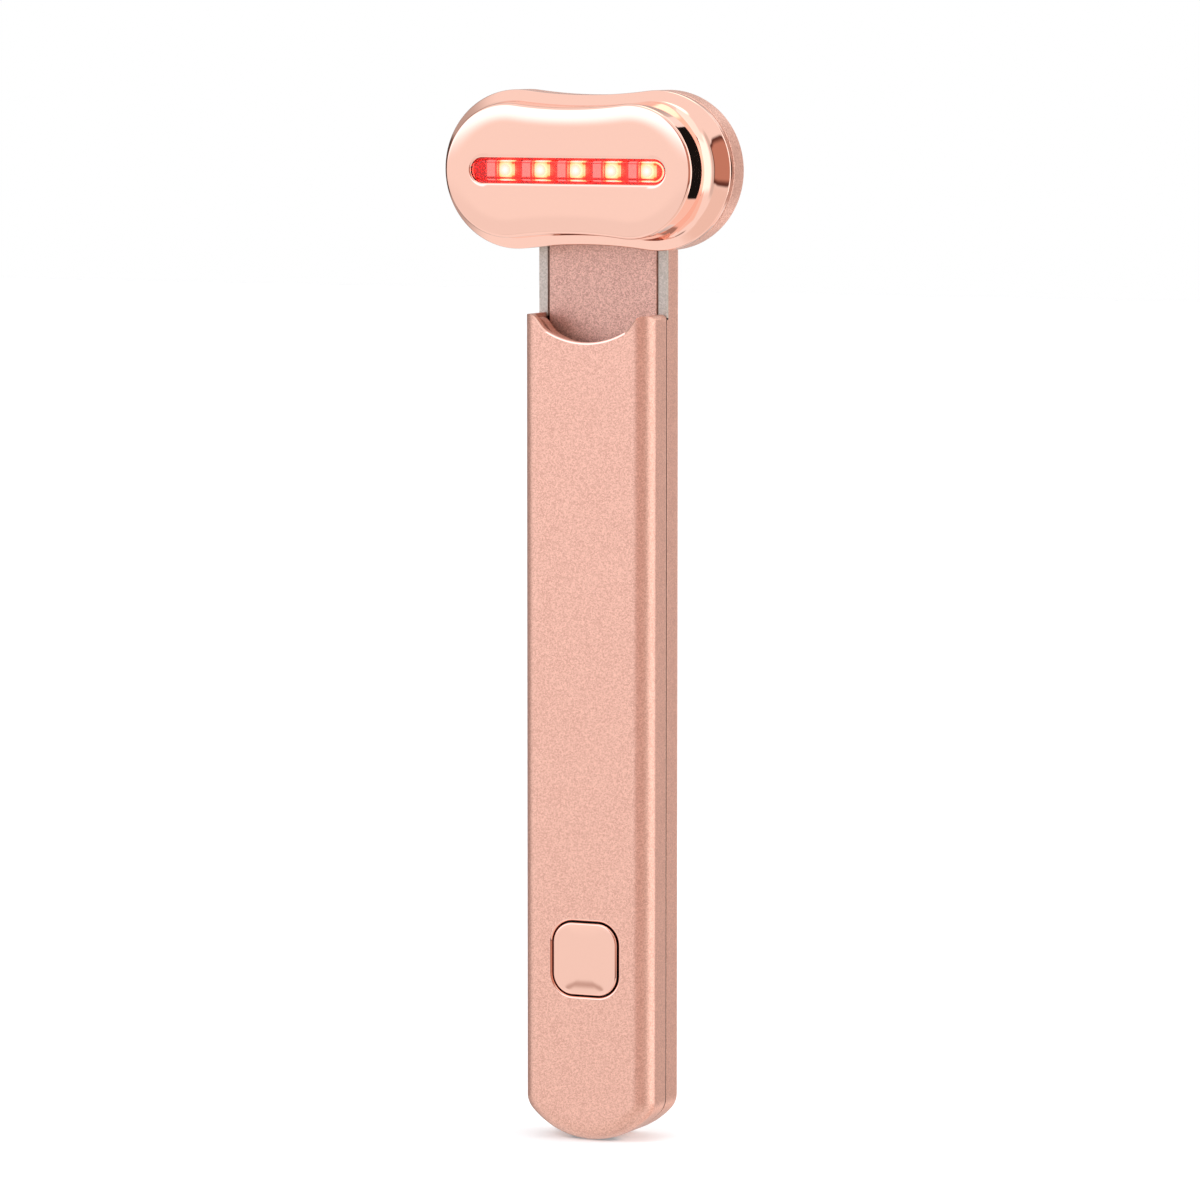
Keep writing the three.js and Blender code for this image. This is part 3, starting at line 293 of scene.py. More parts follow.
def quarter(radius, steps):
    """[depth, inset] steps of a quarter round, from the face to the side."""
    turns = (math.pi / 2 * i / steps for i in range(steps + 1))
    return [(radius * (1 - math.cos(a)), radius * (1 - math.sin(a))) for a in turns]


def finished(piece, body, looks, node=None):
    """Dresses a piece, rides it on its body and, given a node, puts it in that node's place."""
    for material in looks:
        piece.data.materials.append(material)
    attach(piece, body)
    if node:
        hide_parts(node)


def pick(piece, look, chosen):
    """Gives the faces that chosen(x, depth, z, normal) picks the material of that number."""
    for face in piece.data.polygons:
        x, y, z = face.center / MM
        if chosen(x, y - FRONT, z, face.normal):
            face.material_index = look
    return piece


def by_button(x, z):
    return (abs(x) < BUTTON["width"] / 2 + OVERRUN
            and abs(z - BUTTON["z"]) < BUTTON["height"] / 2 + OVERRUN)


# Shapes
def head_row(depth, shares, inset):
    spread, growth = shares
    centre, radius, waist = (a + (b - a) * share
                             for a, b, share in zip(PLATE, RIM, (spread, growth, growth)))
    return [FACE + depth, waisted(centre, radius, waist, inset)]


SPREAD_REACH, GROWTH_REACH = RIM[0] - PLATE[0], RIM[1] - PLATE[1]
WALL_REACH = WALL_SPREAD * SPREAD_REACH + WALL_GROWTH * GROWTH_REACH
WALL_TURN = math.atan2(WALL_REACH, WALL_END - EDGE_RADIUS)


def flare(cove_steps, shoulder_steps, rim_steps):
    """[depth, shares] rows down the hollow cove, the straight shoulder and the rim's round."""
    reach = SPREAD_REACH + COVE_GROWTH * GROWTH_REACH - WALL_REACH
    cove = reach / (math.cos(WALL_TURN) - math.cos(COVE_TURN))
    rows = []
    for i in range(cove_steps + 1):
        turn = WALL_TURN + (COVE_TURN - WALL_TURN) * i / cove_steps
        outward = cove * (math.cos(WALL_TURN) - math.cos(turn))
        growth = WALL_GROWTH + (COVE_GROWTH - WALL_GROWTH) * (outward / reach)**3
        spread = WALL_SPREAD + (outward - (growth - WALL_GROWTH) * GROWTH_REACH) / SPREAD_REACH
        rows.append((WALL_END + cove * (math.sin(turn) - math.sin(WALL_TURN)), (spread, growth)))
    start, run = rows[-1][0], RIM_GROWTH - COVE_GROWTH
    fall = run * GROWTH_REACH / math.tan(COVE_TURN)
    rows += [(start + fall * i / shoulder_steps, (1, COVE_GROWTH + run * i / shoulder_steps))
             for i in range(1, shoulder_steps + 1)]
    rim = (1 - RIM_GROWTH) * GROWTH_REACH / (1 - math.cos(COVE_TURN))
    start = rows[-1][0]
    for i in range(1, rim_steps + 1):
        turn = COVE_TURN * (1 - i / rim_steps)
        rows.append((start + rim * (math.sin(COVE_TURN) - math.sin(turn)),
                     (1, 1 - rim * (1 - math.cos(turn)) / GROWTH_REACH)))
    return rows


def head_shell():
    seam = HEAD_SEAM - CLEARANCE / 2
    rows = [head_row(seam - d, AT_RIM, i) for d, i in quarter(SEAM_BEVEL, 4)]
    rows += [head_row(depth, shares, 0) for depth, shares in reversed(flare(24, 6, 12))]
    tilt = math.atan(2 * CROWN_DROP / (CROWN_WIDTH - EDGE_RADIUS))
    side = math.pi / 2 - WALL_TURN
    edge_steps, wall_steps, crown_steps = 14, 10, 12
    edge = []
    for i in range(edge_steps + 1):
        turn = side + (tilt - side) * i / edge_steps
        depth = CROWN_DROP + EDGE_RADIUS * (math.cos(tilt) - math.cos(turn))
        edge.append(head_row(depth, AT_PLATE, EDGE_RADIUS * (1 - math.sin(turn))))
    wall, foot = rows[-1], edge[0]
    rows += [[wall[0] + (foot[0] - wall[0]) * i / wall_steps,
              between(wall[1], foot[1], i / wall_steps)] for i in range(1, wall_steps)]
    rows += edge
    crown_start = EDGE_RADIUS * (1 - math.sin(tilt))
    for i in range(1, crown_steps + 1):
        share = i / crown_steps
        inset = crown_start + (CROWN_WIDTH - crown_start) * share
        rows.append(head_row(CROWN_DROP * (1 - share) ** 2, AT_PLATE, inset))
    rim = rows[-1][1]
    mouth = slot_outline(SLOT_BEVEL)
    rows += [[FACE, between(rim, mouth, share)] for share in (0.1, 0.5, 0.9)]
    rows += [[FACE + d, slot_outline(i)] for d, i in quarter(SLOT_BEVEL, 5)]
    rows += [[FACE + HEAD_WALL, slot_outline(0)], head_row(HEAD_WALL, AT_PLATE, 1.5 * HEAD_WALL)]
    rows += [head_row(depth + HEAD_WALL / 2, shares, HEAD_WALL)
             for depth, shares in ((EDGE_RADIUS + HEAD_WALL, AT_PLATE), *flare(3, 1, 1))]
    rows += [head_row(seam, AT_RIM, HEAD_WALL)]
    return loft("head_shell_polished", rows, ring=True)


def head_cover():
    start = HEAD_SEAM + CLEARANCE / 2
    ahead, behind = start - COVER_LIP["ahead"], start + COVER_LIP["behind"]
    lip = HEAD_WALL + 2 * CLEARANCE
    lip_inside = lip + COVER_LIP["thickness"]
    rows = [head_row(start + d, AT_RIM, i) for d, i in quarter(SEAM_BEVEL, 4)]
    rows += [head_row(COVER_END - d, AT_RIM, i) for d, i in reversed(quarter(COVER_ROUND, 10))]
    inside = COVER_END - COVER_FLOOR
    rows += [[FACE + depth, round_outline(SHAFT_HOLE)] for depth in (COVER_END, inside)]
    rows += [head_row(depth, AT_RIM, inset)
             for depth, inset in ((inside, HEAD_WALL), (behind, HEAD_WALL), (behind, lip_inside),
                                  (ahead, lip_inside), (ahead, lip), (start, lip))]
    return loft("head_cover_satin", rows, ring=True)


def led_window():
    stem = -CLEARANCE
    front = FACE + LENS_RECESS
    rows = [[front + d, slot_outline(stem - i)] for d, i in quarter(LENS_ROUND, 8)]
    rows += [[FACE + HEAD_WALL, slot_outline(stem)], [FACE + HEAD_WALL, slot_outline(LENS_FLANGE)],
             [FACE + LENS_END, slot_outline(LENS_FLANGE)]]
    return loft("led_window_clear", rows)


def front_shell():
    top = EAR_TOP + OVERRUN
    rear = SEAM - CLEARANCE / 2
    rows = [[d, handle_outline(i, top)] for d, i in quarter(FRONT_ROUND, 18)]
    rows += [[rear - d, handle_outline(i, top)] for d, i in reversed(quarter(HANDLE_BEVEL, 3))]
    shell = loft("front_shell_satin", rows)
    inner = [[FRONT_WALL + d, handle_outline(FRONT_WALL + i, top + OVERRUN)]
             for d, i in quarter(FRONT_ROUND - FRONT_WALL, 6)]
    inner.append([SEAM + OVERRUN, handle_outline(FRONT_WALL, top + OVERRUN)])
    combine(shell, loft("cavity", inner), "DIFFERENCE")

    side, high = HALF_WIDTH + OVERRUN, EAR_TOP + 2 * OVERRUN
    corner = arc(HALF_WIDTH - EAR_CORNER, EAR_TOP - EAR_CORNER, EAR_CORNER, 90, 0, 10)
    ear = [*corner, (side, corner[-1][1])]
    line = [*((-x, z) for x, z in reversed(ear)), *scoop_line(0), *ear]

    def cut_line(drop):
        return [*((x, z - drop) for x, z in line), (side, high), (-side, high)]

    rows = [[-OVERRUN, cut_line(SCOOP_BEVEL + OVERRUN)], [0, cut_line(SCOOP_BEVEL)],
            [SCOOP_BEVEL_DEPTH, cut_line(0)], [SEAM + OVERRUN, cut_line(0)]]
    combine(shell, loft("scoop", rows), "DIFFERENCE")

    rows = [[-OVERRUN, rounded_square(CLEARANCE + OPENING_BEVEL)]]
    rows += [[d, rounded_square(CLEARANCE + i)] for d, i in quarter(OPENING_BEVEL, 5)]
    combine(shell, loft("opening", [*rows, [FRONT_WALL + OVERRUN, rounded_square(CLEARANCE)]]),
            "DIFFERENCE")
    combine(shell, port_cutter(), "DIFFERENCE")

    def polished_edge(x, depth, z, normal):
        if by_button(x, z):
            return 0 < depth < OPENING_BEVEL and -FLAT < normal.y < -LEANS_FORWARD
        return (depth < SCOOP_BEVEL_DEPTH and z > SCOOP_FLOOR - OVERRUN
                and normal.z > LEANS_UP and normal.y < -LEANS_FORWARD)

    # Painted shade: faces inside the shell that face back, and the walls inside the button's
    # opening, take black so the seam and the gap round the button look dark
    def bare_inside(x, depth, z, normal):
        return normal.y > NEARLY_FLAT or (by_button(x, z) and depth > OPENING_BEVEL)

    pick(shell, 1, polished_edge)
    return pick(shell, 2, bare_inside)


def port_cutter():
    half = PORT["thickness"] / 2 + CLEARANCE
    reach = PORT["width"] / 2 + CLEARANCE - half
    outline = [*arc(reach, PORT["depth"], half, -90, 90, 16),
               *arc(-reach, PORT["depth"], half, 90, 270, 16)]
    count = len(outline)
    points = [(x, FRONT + y, z) for z in (-OVERRUN, PORT["cut"]) for x, y in outline]
    faces = [(i, (i + 1) % count, count + (i + 1) % count, count + i) for i in range(count)]
    return mesh_object("port", points, [*faces, range(count), range(count, 2 * count)])


def back_shell():
    rows = [[SEAM + CLEARANCE / 2 + d, wand_outline(i)] for d, i in quarter(HANDLE_BEVEL, 3)]
    rows += [[BACK - d, wand_outline(i)] for d, i in reversed(quarter(BACK_ROUND, 14))]
    shell = loft("back_shell_satin", rows)
    floor = BACK - BACK_FLOOR
    inner = [[SEAM - OVERRUN, wand_outline(BACK_SIDE_WALL)]]
    inner += [[floor - d, wand_outline(BACK_SIDE_WALL + i)]
              for d, i in reversed(quarter(BACK_ROUND - BACK_SIDE_WALL, 5))]
    combine(shell, loft("cavity", inner), "DIFFERENCE")
    side, low, high = HALF_WIDTH + OVERRUN, SHOULDER - CLEARANCE, PIVOT + HALF_WIDTH + OVERRUN
    outline = [(-side, low), (side, low), (side, high), (-side, high)]
    rebate = loft("rebate", [[SEAM - OVERRUN, outline], [SEAM + PANEL_THICKNESS, outline]])
    combine(shell, rebate, "DIFFERENCE")
    # Painted shade: its faces that face forward, at the seam and behind the neck panel, take black
    return pick(shell, 1, lambda x, depth, z, normal: normal.y < -NEARLY_FLAT)


def neck_panel():
    rows = [[SEAM + d, tongue(PANEL_REACH - i, PANEL_FOOT + i)]
            for d, i in quarter(PANEL_BEVEL, 3)]
    rows.append([SEAM + PANEL_THICKNESS, tongue(PANEL_REACH, PANEL_FOOT)])
    panel = loft("neck_panel_satin", rows)
    hole = loft("hole", [[SEAM - OVERRUN, round_outline(PANEL_HOLE)],
                         [SEAM + OVERRUN, round_outline(PANEL_HOLE)]])
    return combine(panel, hole, "DIFFERENCE")


def scoop_liner():
    def band(name, drop, front, rear):
        outline = [*scoop_line(LINER["foot"]), *reversed(scoop_line(drop))]
        return loft(name, [[front, outline], [rear, outline]])

    liner = band("scoop_liner_satin", LINER["groove_drop"], FRONT_WALL,
                 LINER["groove_end"] + OVERRUN)
    rib = band("rib", LINER["rib_drop"], LINER["groove_end"], LINER["rib_end"])
    combine(liner, rib, "UNION")
    inset = FRONT_WALL + CLEARANCE
    rows = [[FRONT_WALL + d, handle_outline(inset + i, EAR_TOP)]
            for d, i in quarter(FRONT_ROUND - FRONT_WALL, 6)]
    room = loft("room", [*rows, [LINER["rib_end"] + OVERRUN, handle_outline(inset, EAR_TOP)]])
    return combine(liner, room, "INTERSECT")


def seam_lip():
    """Lip inside the handle that stands on the back shell and closes the seam to the light."""
    def band(outside, inside):
        top = SCOOP_FLOOR - LINER["foot"] - OVERRUN
        outer, inner = handle_end(outside), handle_end(inside)
        return [*outer, (HALF_WIDTH - outside, top), (HALF_WIDTH - inside, top),
                *reversed(inner), (inside - HALF_WIDTH, top), (outside - HALF_WIDTH, top)]

    upper = band(FRONT_WALL + LIP_OUTER, FRONT_WALL + LIP_INNER)
    lower = band(BACK_SIDE_WALL, FRONT_WALL + LIP_INNER)
    return loft("seam_lip_dark", [[SEAM - LIP_REACH, upper], [SEAM + CLEARANCE, upper],
                                  [SEAM + CLEARANCE, lower], [SEAM + LIP_REACH, lower]])


def button_cap():
    rows = []
    dome_steps, edge_steps = 12, 8
    top = rounded_square(-BUTTON["edge"])
    middle = [(0.0, BUTTON["z"])] * len(top)
    for i in range(1, dome_steps + 1):
        share = i / dome_steps
        rows.append([BUTTON_DOME * share**2 - BUTTON["proud"], between(middle, top, share)])
    tilt = math.atan(2 * BUTTON_DOME / (BUTTON["width"] / 2 - BUTTON["edge"]))
    face = BUTTON_DOME - BUTTON["proud"]
    for i in range(1, edge_steps + 1):
        turn = tilt + (math.pi / 2 - tilt) * i / edge_steps
        rows.append([face + BUTTON["edge"] * (math.cos(tilt) - math.cos(turn)),
                     rounded_square(-BUTTON["edge"] * (1 - math.sin(turn)))])
    seat = FRONT_WALL + CLEARANCE
    rows += [[OPENING_BEVEL, rounded_square(0)], [seat, rounded_square(0)],
             [seat, rounded_square(BUTTON_FLANGE)],
             [seat + BUTTON_FLANGE_THICKNESS, rounded_square(BUTTON_FLANGE)]]
    # Painted shade: its sides deeper than the opening's bevel take black, for the dark gap round
    # the button
    return pick(loft("button_cap_polished", rows), 1,
                lambda x, depth, z, normal: depth > OPENING_BEVEL)


# Materials
# Grained paint: share and scale of its clouds against its flakes, where its shades lie between
# dark and light, how far its roughness varies, and the flakes' relief in mm
CLOUD_SHARE, CLOUD_SCALE, CLOUD_DETAIL = 0.3, 0.7, 3
SHADES = (0.2, 0.8)
ROUGHNESS_SPREAD = 0.05
FLAKE_RELIEF = 0.02
# Polish: scale and detail of its marks, and how much rougher they are
MARK_SCALE, MARK_DETAIL, MARK_ROUGHNESS = 400, 4, 1.6
LIT_ROUGHNESS, PACKAGE_ROUGHNESS = 0.4, 0.5
EDGE_GLOW = 0.015               # of a lit diode, against its middle
# Die in its package: half sizes along the axes, softness of its edge, and glow round it
DIE_SIZE, DIE_SOFTNESS, PACKAGE_GLOW = (("X", 0.34), ("Z", 0.45)), 0.03, 0.12


def new_material(name):
    made = bpy.data.materials.new(name)
    made.use_nodes = True
    return made, made.node_tree.nodes, made.node_tree.links


def plain(name, colour, roughness, metallic=0.0, more=()):
    made, nodes, _ = new_material(name)
    shader = nodes["Principled BSDF"]
    for socket, value in (("Base Color", (*colour, 1)), ("Roughness", roughness),
                          ("Metallic", metallic), *more):
        shader.inputs[socket].default_value = value
    return made


def grained(name, dark, light, roughness, metallic, grain, tilt):
    """Satin metallic paint: flakes of grain size (mm), each with its own shade and slight tilt."""
    made, nodes, links = new_material(name)
    shader = nodes["Principled BSDF"]
    shader.inputs["Metallic"].default_value = metallic
    place = nodes.new("ShaderNodeTexCoord")
    flakes = nodes.new("ShaderNodeTexVoronoi")
    flakes.inputs["Scale"].default_value = 1 / (grain * MM)
    links.new(place.outputs["Object"], flakes.inputs["Vector"])
    clouds = nodes.new("ShaderNodeTexNoise")
    clouds.inputs["Scale"].default_value = CLOUD_SCALE / (grain * MM)
    clouds.inputs["Detail"].default_value = CLOUD_DETAIL
    links.new(place.outputs["Object"], clouds.inputs["Vector"])
    split = nodes.new("ShaderNodeSeparateColor")
    links.new(flakes.outputs["Color"], split.inputs["Color"])
    blend = nodes.new("ShaderNodeMix")
    blend.inputs["Factor"].default_value = CLOUD_SHARE
    links.new(split.outputs["Red"], blend.inputs["A"])
    links.new(clouds.outputs["Fac"], blend.inputs["B"])
    ramp = nodes.new("ShaderNodeValToRGB")
    for stop, at, colour in zip(ramp.color_ramp.elements, SHADES, (dark, light)):
        stop.position, stop.color = at, (*colour, 1)
    links.new(blend.outputs["Result"], ramp.inputs["Fac"])
    links.new(ramp.outputs["Color"], shader.inputs["Base Color"])
    gloss = nodes.new("ShaderNodeMapRange")
    gloss.inputs["To Min"].default_value = roughness + ROUGHNESS_SPREAD
    gloss.inputs["To Max"].default_value = roughness - ROUGHNESS_SPREAD
    links.new(split.outputs["Green"], gloss.inputs["Value"])
    links.new(gloss.outputs["Result"], shader.inputs["Roughness"])
    relief = nodes.new("ShaderNodeBump")
    relief.inputs["Strength"].default_value = tilt
    relief.inputs["Distance"].default_value = FLAKE_RELIEF * MM
    links.new(flakes.outputs["Distance"], relief.inputs["Height"])
    links.new(relief.outputs["Normal"], shader.inputs["Normal"])
    return made


def polished(name, colour, roughness):
    """Plated metal with faint marks in its gloss."""
    made, nodes, links = new_material(name)
    shader = nodes["Principled BSDF"]
    shader.inputs["Base Color"].default_value = (*colour, 1)
    shader.inputs["Metallic"].default_value = 1
    place = nodes.new("ShaderNodeTexCoord")
    marks = nodes.new("ShaderNodeTexNoise")
    marks.inputs["Scale"].default_value = MARK_SCALE
    marks.inputs["Detail"].default_value = MARK_DETAIL
    links.new(place.outputs["Object"], marks.inputs["Vector"])
    gloss = nodes.new("ShaderNodeMapRange")
    gloss.inputs["To Min"].default_value = roughness
    gloss.inputs["To Max"].default_value = roughness * MARK_ROUGHNESS
    links.new(marks.outputs["Fac"], gloss.inputs["Value"])
    links.new(gloss.outputs["Result"], shader.inputs["Roughness"])
    return made


def glowing(name, core, edge, strength, reach):
    """A lit diode: brightest in its middle, with the edge's colour from reach outwards."""
    made, nodes, links = new_material(name)
    shader = nodes["Principled BSDF"]
    shader.inputs["Base Color"].default_value = (*edge, 1)
    shader.inputs["Roughness"].default_value = LIT_ROUGHNESS
    place = nodes.new("ShaderNodeTexCoord")
    middle = nodes.new("ShaderNodeVectorMath")
    middle.operation = "SUBTRACT"
    middle.inputs[1].default_value = (0.5, 0.5, 0.5)
    links.new(place.outputs["Generated"], middle.inputs[0])
    flat = nodes.new("ShaderNodeVectorMath")
    flat.operation = "MULTIPLY"
    flat.inputs[1].default_value = (1, 0, 1)
    links.new(middle.outputs["Vector"], flat.inputs[0])
    size = nodes.new("ShaderNodeVectorMath")
    size.operation = "LENGTH"
    links.new(flat.outputs["Vector"], size.inputs[0])
    fade = nodes.new("ShaderNodeMapRange")
    fade.inputs["From Max"].default_value = reach
    fade.inputs["To Min"].default_value = strength
    fade.inputs["To Max"].default_value = strength * EDGE_GLOW
    links.new(size.outputs["Value"], fade.inputs["Value"])
    tint = nodes.new("ShaderNodeValToRGB")
    tint.color_ramp.elements[0].color = (*core, 1)
    tint.color_ramp.elements[1].color = (*edge, 1)
    tint.color_ramp.elements[1].position = reach
    links.new(size.outputs["Value"], tint.inputs["Fac"])
    links.new(tint.outputs["Color"], shader.inputs["Emission Color"])
    links.new(fade.outputs["Result"], shader.inputs["Emission Strength"])
    return made


def lit_die(name, colour, light, strength):
    """A faintly lit diode: its die is a smaller upright square in a plain package."""
    made, nodes, links = new_material(name)
    shader = nodes["Principled BSDF"]
    shader.inputs["Base Color"].default_value = (*colour, 1)
    shader.inputs["Roughness"].default_value = PACKAGE_ROUGHNESS
    shader.inputs["Emission Color"].default_value = (*light, 1)
    place = nodes.new("ShaderNodeTexCoord")
    split = nodes.new("ShaderNodeSeparateXYZ")
    links.new(place.outputs["Generated"], split.inputs["Vector"])
    power = nodes.new("ShaderNodeMath")
    power.operation = "MULTIPLY"
    power.inputs[1].default_value = strength
    sides = []
    for axis, half in DIE_SIZE:
        off = nodes.new("ShaderNodeMath")
        off.operation = "SUBTRACT"
        off.inputs[1].default_value = 0.5
        links.new(split.outputs[axis], off.inputs[0])
        far = nodes.new("ShaderNodeMath")
        far.operation = "ABSOLUTE"
        links.new(off.outputs["Value"], far.inputs[0])
        inside = nodes.new("ShaderNodeMapRange")
        inside.inputs["From Min"].default_value = half - DIE_SOFTNESS
        inside.inputs["From Max"].default_value = half + DIE_SOFTNESS
        inside.inputs["To Min"].default_value = 1
        inside.inputs["To Max"].default_value = PACKAGE_GLOW
        links.new(far.outputs["Value"], inside.inputs["Value"])
        sides.append(inside.outputs["Result"])
    both = nodes.new("ShaderNodeMath")
    both.operation = "MULTIPLY"
    links.new(sides[0], both.inputs[0])
    links.new(sides[1], both.inputs[1])
    links.new(both.outputs["Value"], power.inputs[0])
    links.new(power.outputs["Value"], shader.inputs["Emission Strength"])
    return made


# Dark and light shade, roughness, metallic share, size of a flake in mm, strength of its tilt
GRAINED = {
    # A darker copy of the handle's paint for the neck panel: painted shade where the head shades it
    "rose_paint_shaded": ((0.52, 0.29, 0.235), (0.82, 0.50, 0.41), 0.36, 0.62, 0.19, 0.4),
    "rose_paint": ((0.66, 0.355, 0.275), (0.87, 0.52, 0.41), 0.34, 0.66, 0.19, 0.35),
    "silver_satin": ((0.47, 0.43, 0.375), (0.64, 0.58, 0.52), 0.45, 0.6, 0.22, 0.2),
    "circuit_green": ((0.03, 0.13, 0.07), (0.05, 0.17, 0.09), 0.4, 0.0, 0.8, 0.1),
}
# Colour, roughness, metallic share, further sockets
PLAIN = {
    "red_lens": ((1.0, 0.045, 0.045), 0.03, 0.0,
                 (("Transmission Weight", 1.0), ("IOR", 1.46), ("Specular IOR Level", 0.1))),
    # Painted light: the board glows red on its own, in place of the light that the diodes cast on
    # it between them
    "led_board": ((0.26, 0.13, 0.12), 0.5, 0.0,
                  (("Emission Color", (1.0, 0.25, 0.25, 1)), ("Emission Strength", 0.55))),
    "black_plastic": ((0.015, 0.015, 0.017), 0.45),
    "white_plastic": ((0.82, 0.80, 0.77), 0.5),
    "steel": ((0.55, 0.56, 0.58), 0.28, 1.0),
    "battery_foil": ((0.42, 0.45, 0.5), 0.35, 0.8),
    "brass": ((0.62, 0.45, 0.16), 0.3, 1.0),
    "dark_rubber": ((0.03, 0.03, 0.032), 0.85),
    "red_wire": ((0.45, 0.015, 0.02), 0.5),
}
materials = {
    "rose_chrome": polished("rose_chrome", (0.985, 0.61, 0.50), 0.03),
    "red_led": glowing("red_led", (1.0, 1.0, 0.98), (1.0, 0.5, 0.12), 300.0, 0.66),
    "infrared_led": lit_die("infrared_led", (0.95, 0.70, 0.68), (0.12, 1.0, 0.92), 5.4),
    **{name: grained(name, *setup) for name, setup in GRAINED.items()},
    **{name: plain(name, *setup) for name, setup in PLAIN.items()},
}
for part in frame["record"]["subparts"]:
    shown = frame["nodes"][part["node"]]
    shown.data.materials.clear()
    shown.data.materials.append(materials[part["material_slot"]])
# The board takes the look with its painted glow from the diodes
frame["nodes"]["led_board"].data.materials[0] = materials["led_board"]

# Shape, body, slot, and the looks of its faces by their material number
for make, body, slot, looks in (
    (head_shell, "head", "rose_chrome", ("rose_chrome",)),
    (head_cover, "head", "rose_paint", ("rose_paint",)),
    (led_window, "head", "red_lens", ("red_lens",)),
    (front_shell, "handle", "rose_paint", ("rose_paint", "rose_chrome", "black_plastic")),
    (back_shell, "handle", "rose_paint", ("rose_paint", "black_plastic")),
    (scoop_liner, "handle", "rose_paint", ("rose_paint",)),
    # The neck panel takes the darker copy of the paint: painted shade under the head
    (neck_panel, "handle", "rose_paint", ("rose_paint_shaded",)),
    (button_cap, "button", "rose_chrome", ("rose_chrome", "black_plastic")),
):
    finished(shade(make()), body, [materials[look] for look in looks], make.__name__)
# The lip is black: painted shade in the seam
finished(shade(seam_lip()), "handle", [materials["black_plastic"]])


# Floor, light and camera
FLOOR_HALF = 3000.0
FLOOR_COLOUR, FLOOR_ROUGHNESS = (0.82, 0.85, 0.87), 0.6
FLOOR_LIFT = 0.21               # glow that only the camera sees
# The room is white where it is seen or mirrored. Level at which it lights rough surfaces:
ROOM = 0.93
WHITE = (1.0, 1.0, 1.0)
LIGHT_MAP = 512                 # resolution at which the room's light is sampled
# What stands in it out of view: level and tint, compass angles, heights, softness of the edges
CARDS = [
    ((0.52, 0.50, 0.49), -179, -76, -34, 42, 12),    # grey wall on the left
    ((0.72, 0.70, 0.68), 56, 78, -30, 44, 6),        # gap beside the soft box on the right
    ((0.88, 0.80, 0.76), -6, 58, -60, -14, 5),       # table under the brown card
    ((1.78, 1.82, 2.05), -66, -4, 2.0, 31, 2.5),     # soft box overhead in front
    ((0.94, 0.93, 0.93), -60, 8, -16, -3.5, 1.5),    # table in front
    ((0.58, 0.50, 0.47), -27.2, -22.2, -13.3, -12.3, 0.45),  # a mark on the table
    ((0.10, 0.08, 0.07), -150, -84, -13, 13, 3),     # dark screen behind on the left
    ((0.14, 0.12, 0.11), -156, -112, 18, 34, 3),     # gap under the rear ceiling
    ((0.14, 0.12, 0.11), -153, -112, -34, -18, 3),   # rear edge of the table
    ((0.12, 0.05, 0.04), -7, 66, -14, 28, 1.5),      # edge of the brown card
    ((0.56, 0.30, 0.23), -4, 62, -9.5, 24, 2.5),     # brown card on the right in front
    ((1.65, 1.6, 1.62), 84, 142, -24, 44, 6),        # soft box on the right
    ((1.35, 1.3, 1.3), 100, 179, 33, 75, 2.5),       # soft box high behind on the right
    ((0.99, 0.76, 0.68), 120, 181, -60, -22, 3),     # warm table behind
    ((0.55, 0.39, 0.34), 150, 168, -19, 28, 4),      # warm wall behind
    ((0.01, 0.01, 0.01), 139.5, 158, -23, 31, 0.8),  # black card behind on the right
    ((0.01, 0.01, 0.01), 155, 165.5, 24, 34, 0.8),   # its upper corner
    ((2.4, 2.3, 2.2), -181, 181, 74, 100, 4),        # soft box at the zenith
    ((0.4, 0.37, 0.36), -181, 181, -100, -80, 3),    # shade under the wand
]


def floor():
    corners = [(x * FLOOR_HALF, y * FLOOR_HALF, 0) for x, y in ((-1, -1), (1, -1), (1, 1), (-1, 1))]
    made = mesh_object("floor", corners, [(0, 1, 2, 3)])
    pale, nodes, links = new_material("floor")
    shader = nodes["Principled BSDF"]
    shader.inputs["Base Color"].default_value = (*FLOOR_COLOUR, 1)
    shader.inputs["Roughness"].default_value = FLOOR_ROUGHNESS
    path = nodes.new("ShaderNodeLightPath")
    lift = nodes.new("ShaderNodeMath")
    lift.operation = "MULTIPLY"
    lift.inputs[1].default_value = FLOOR_LIFT
    links.new(path.outputs["Is Camera Ray"], lift.inputs[0])
    shader.inputs["Emission Color"].default_value = (*WHITE, 1)
    links.new(lift.outputs["Value"], shader.inputs["Emission Strength"])
    made.data.materials.append(pale)
    made.visible_glossy = False


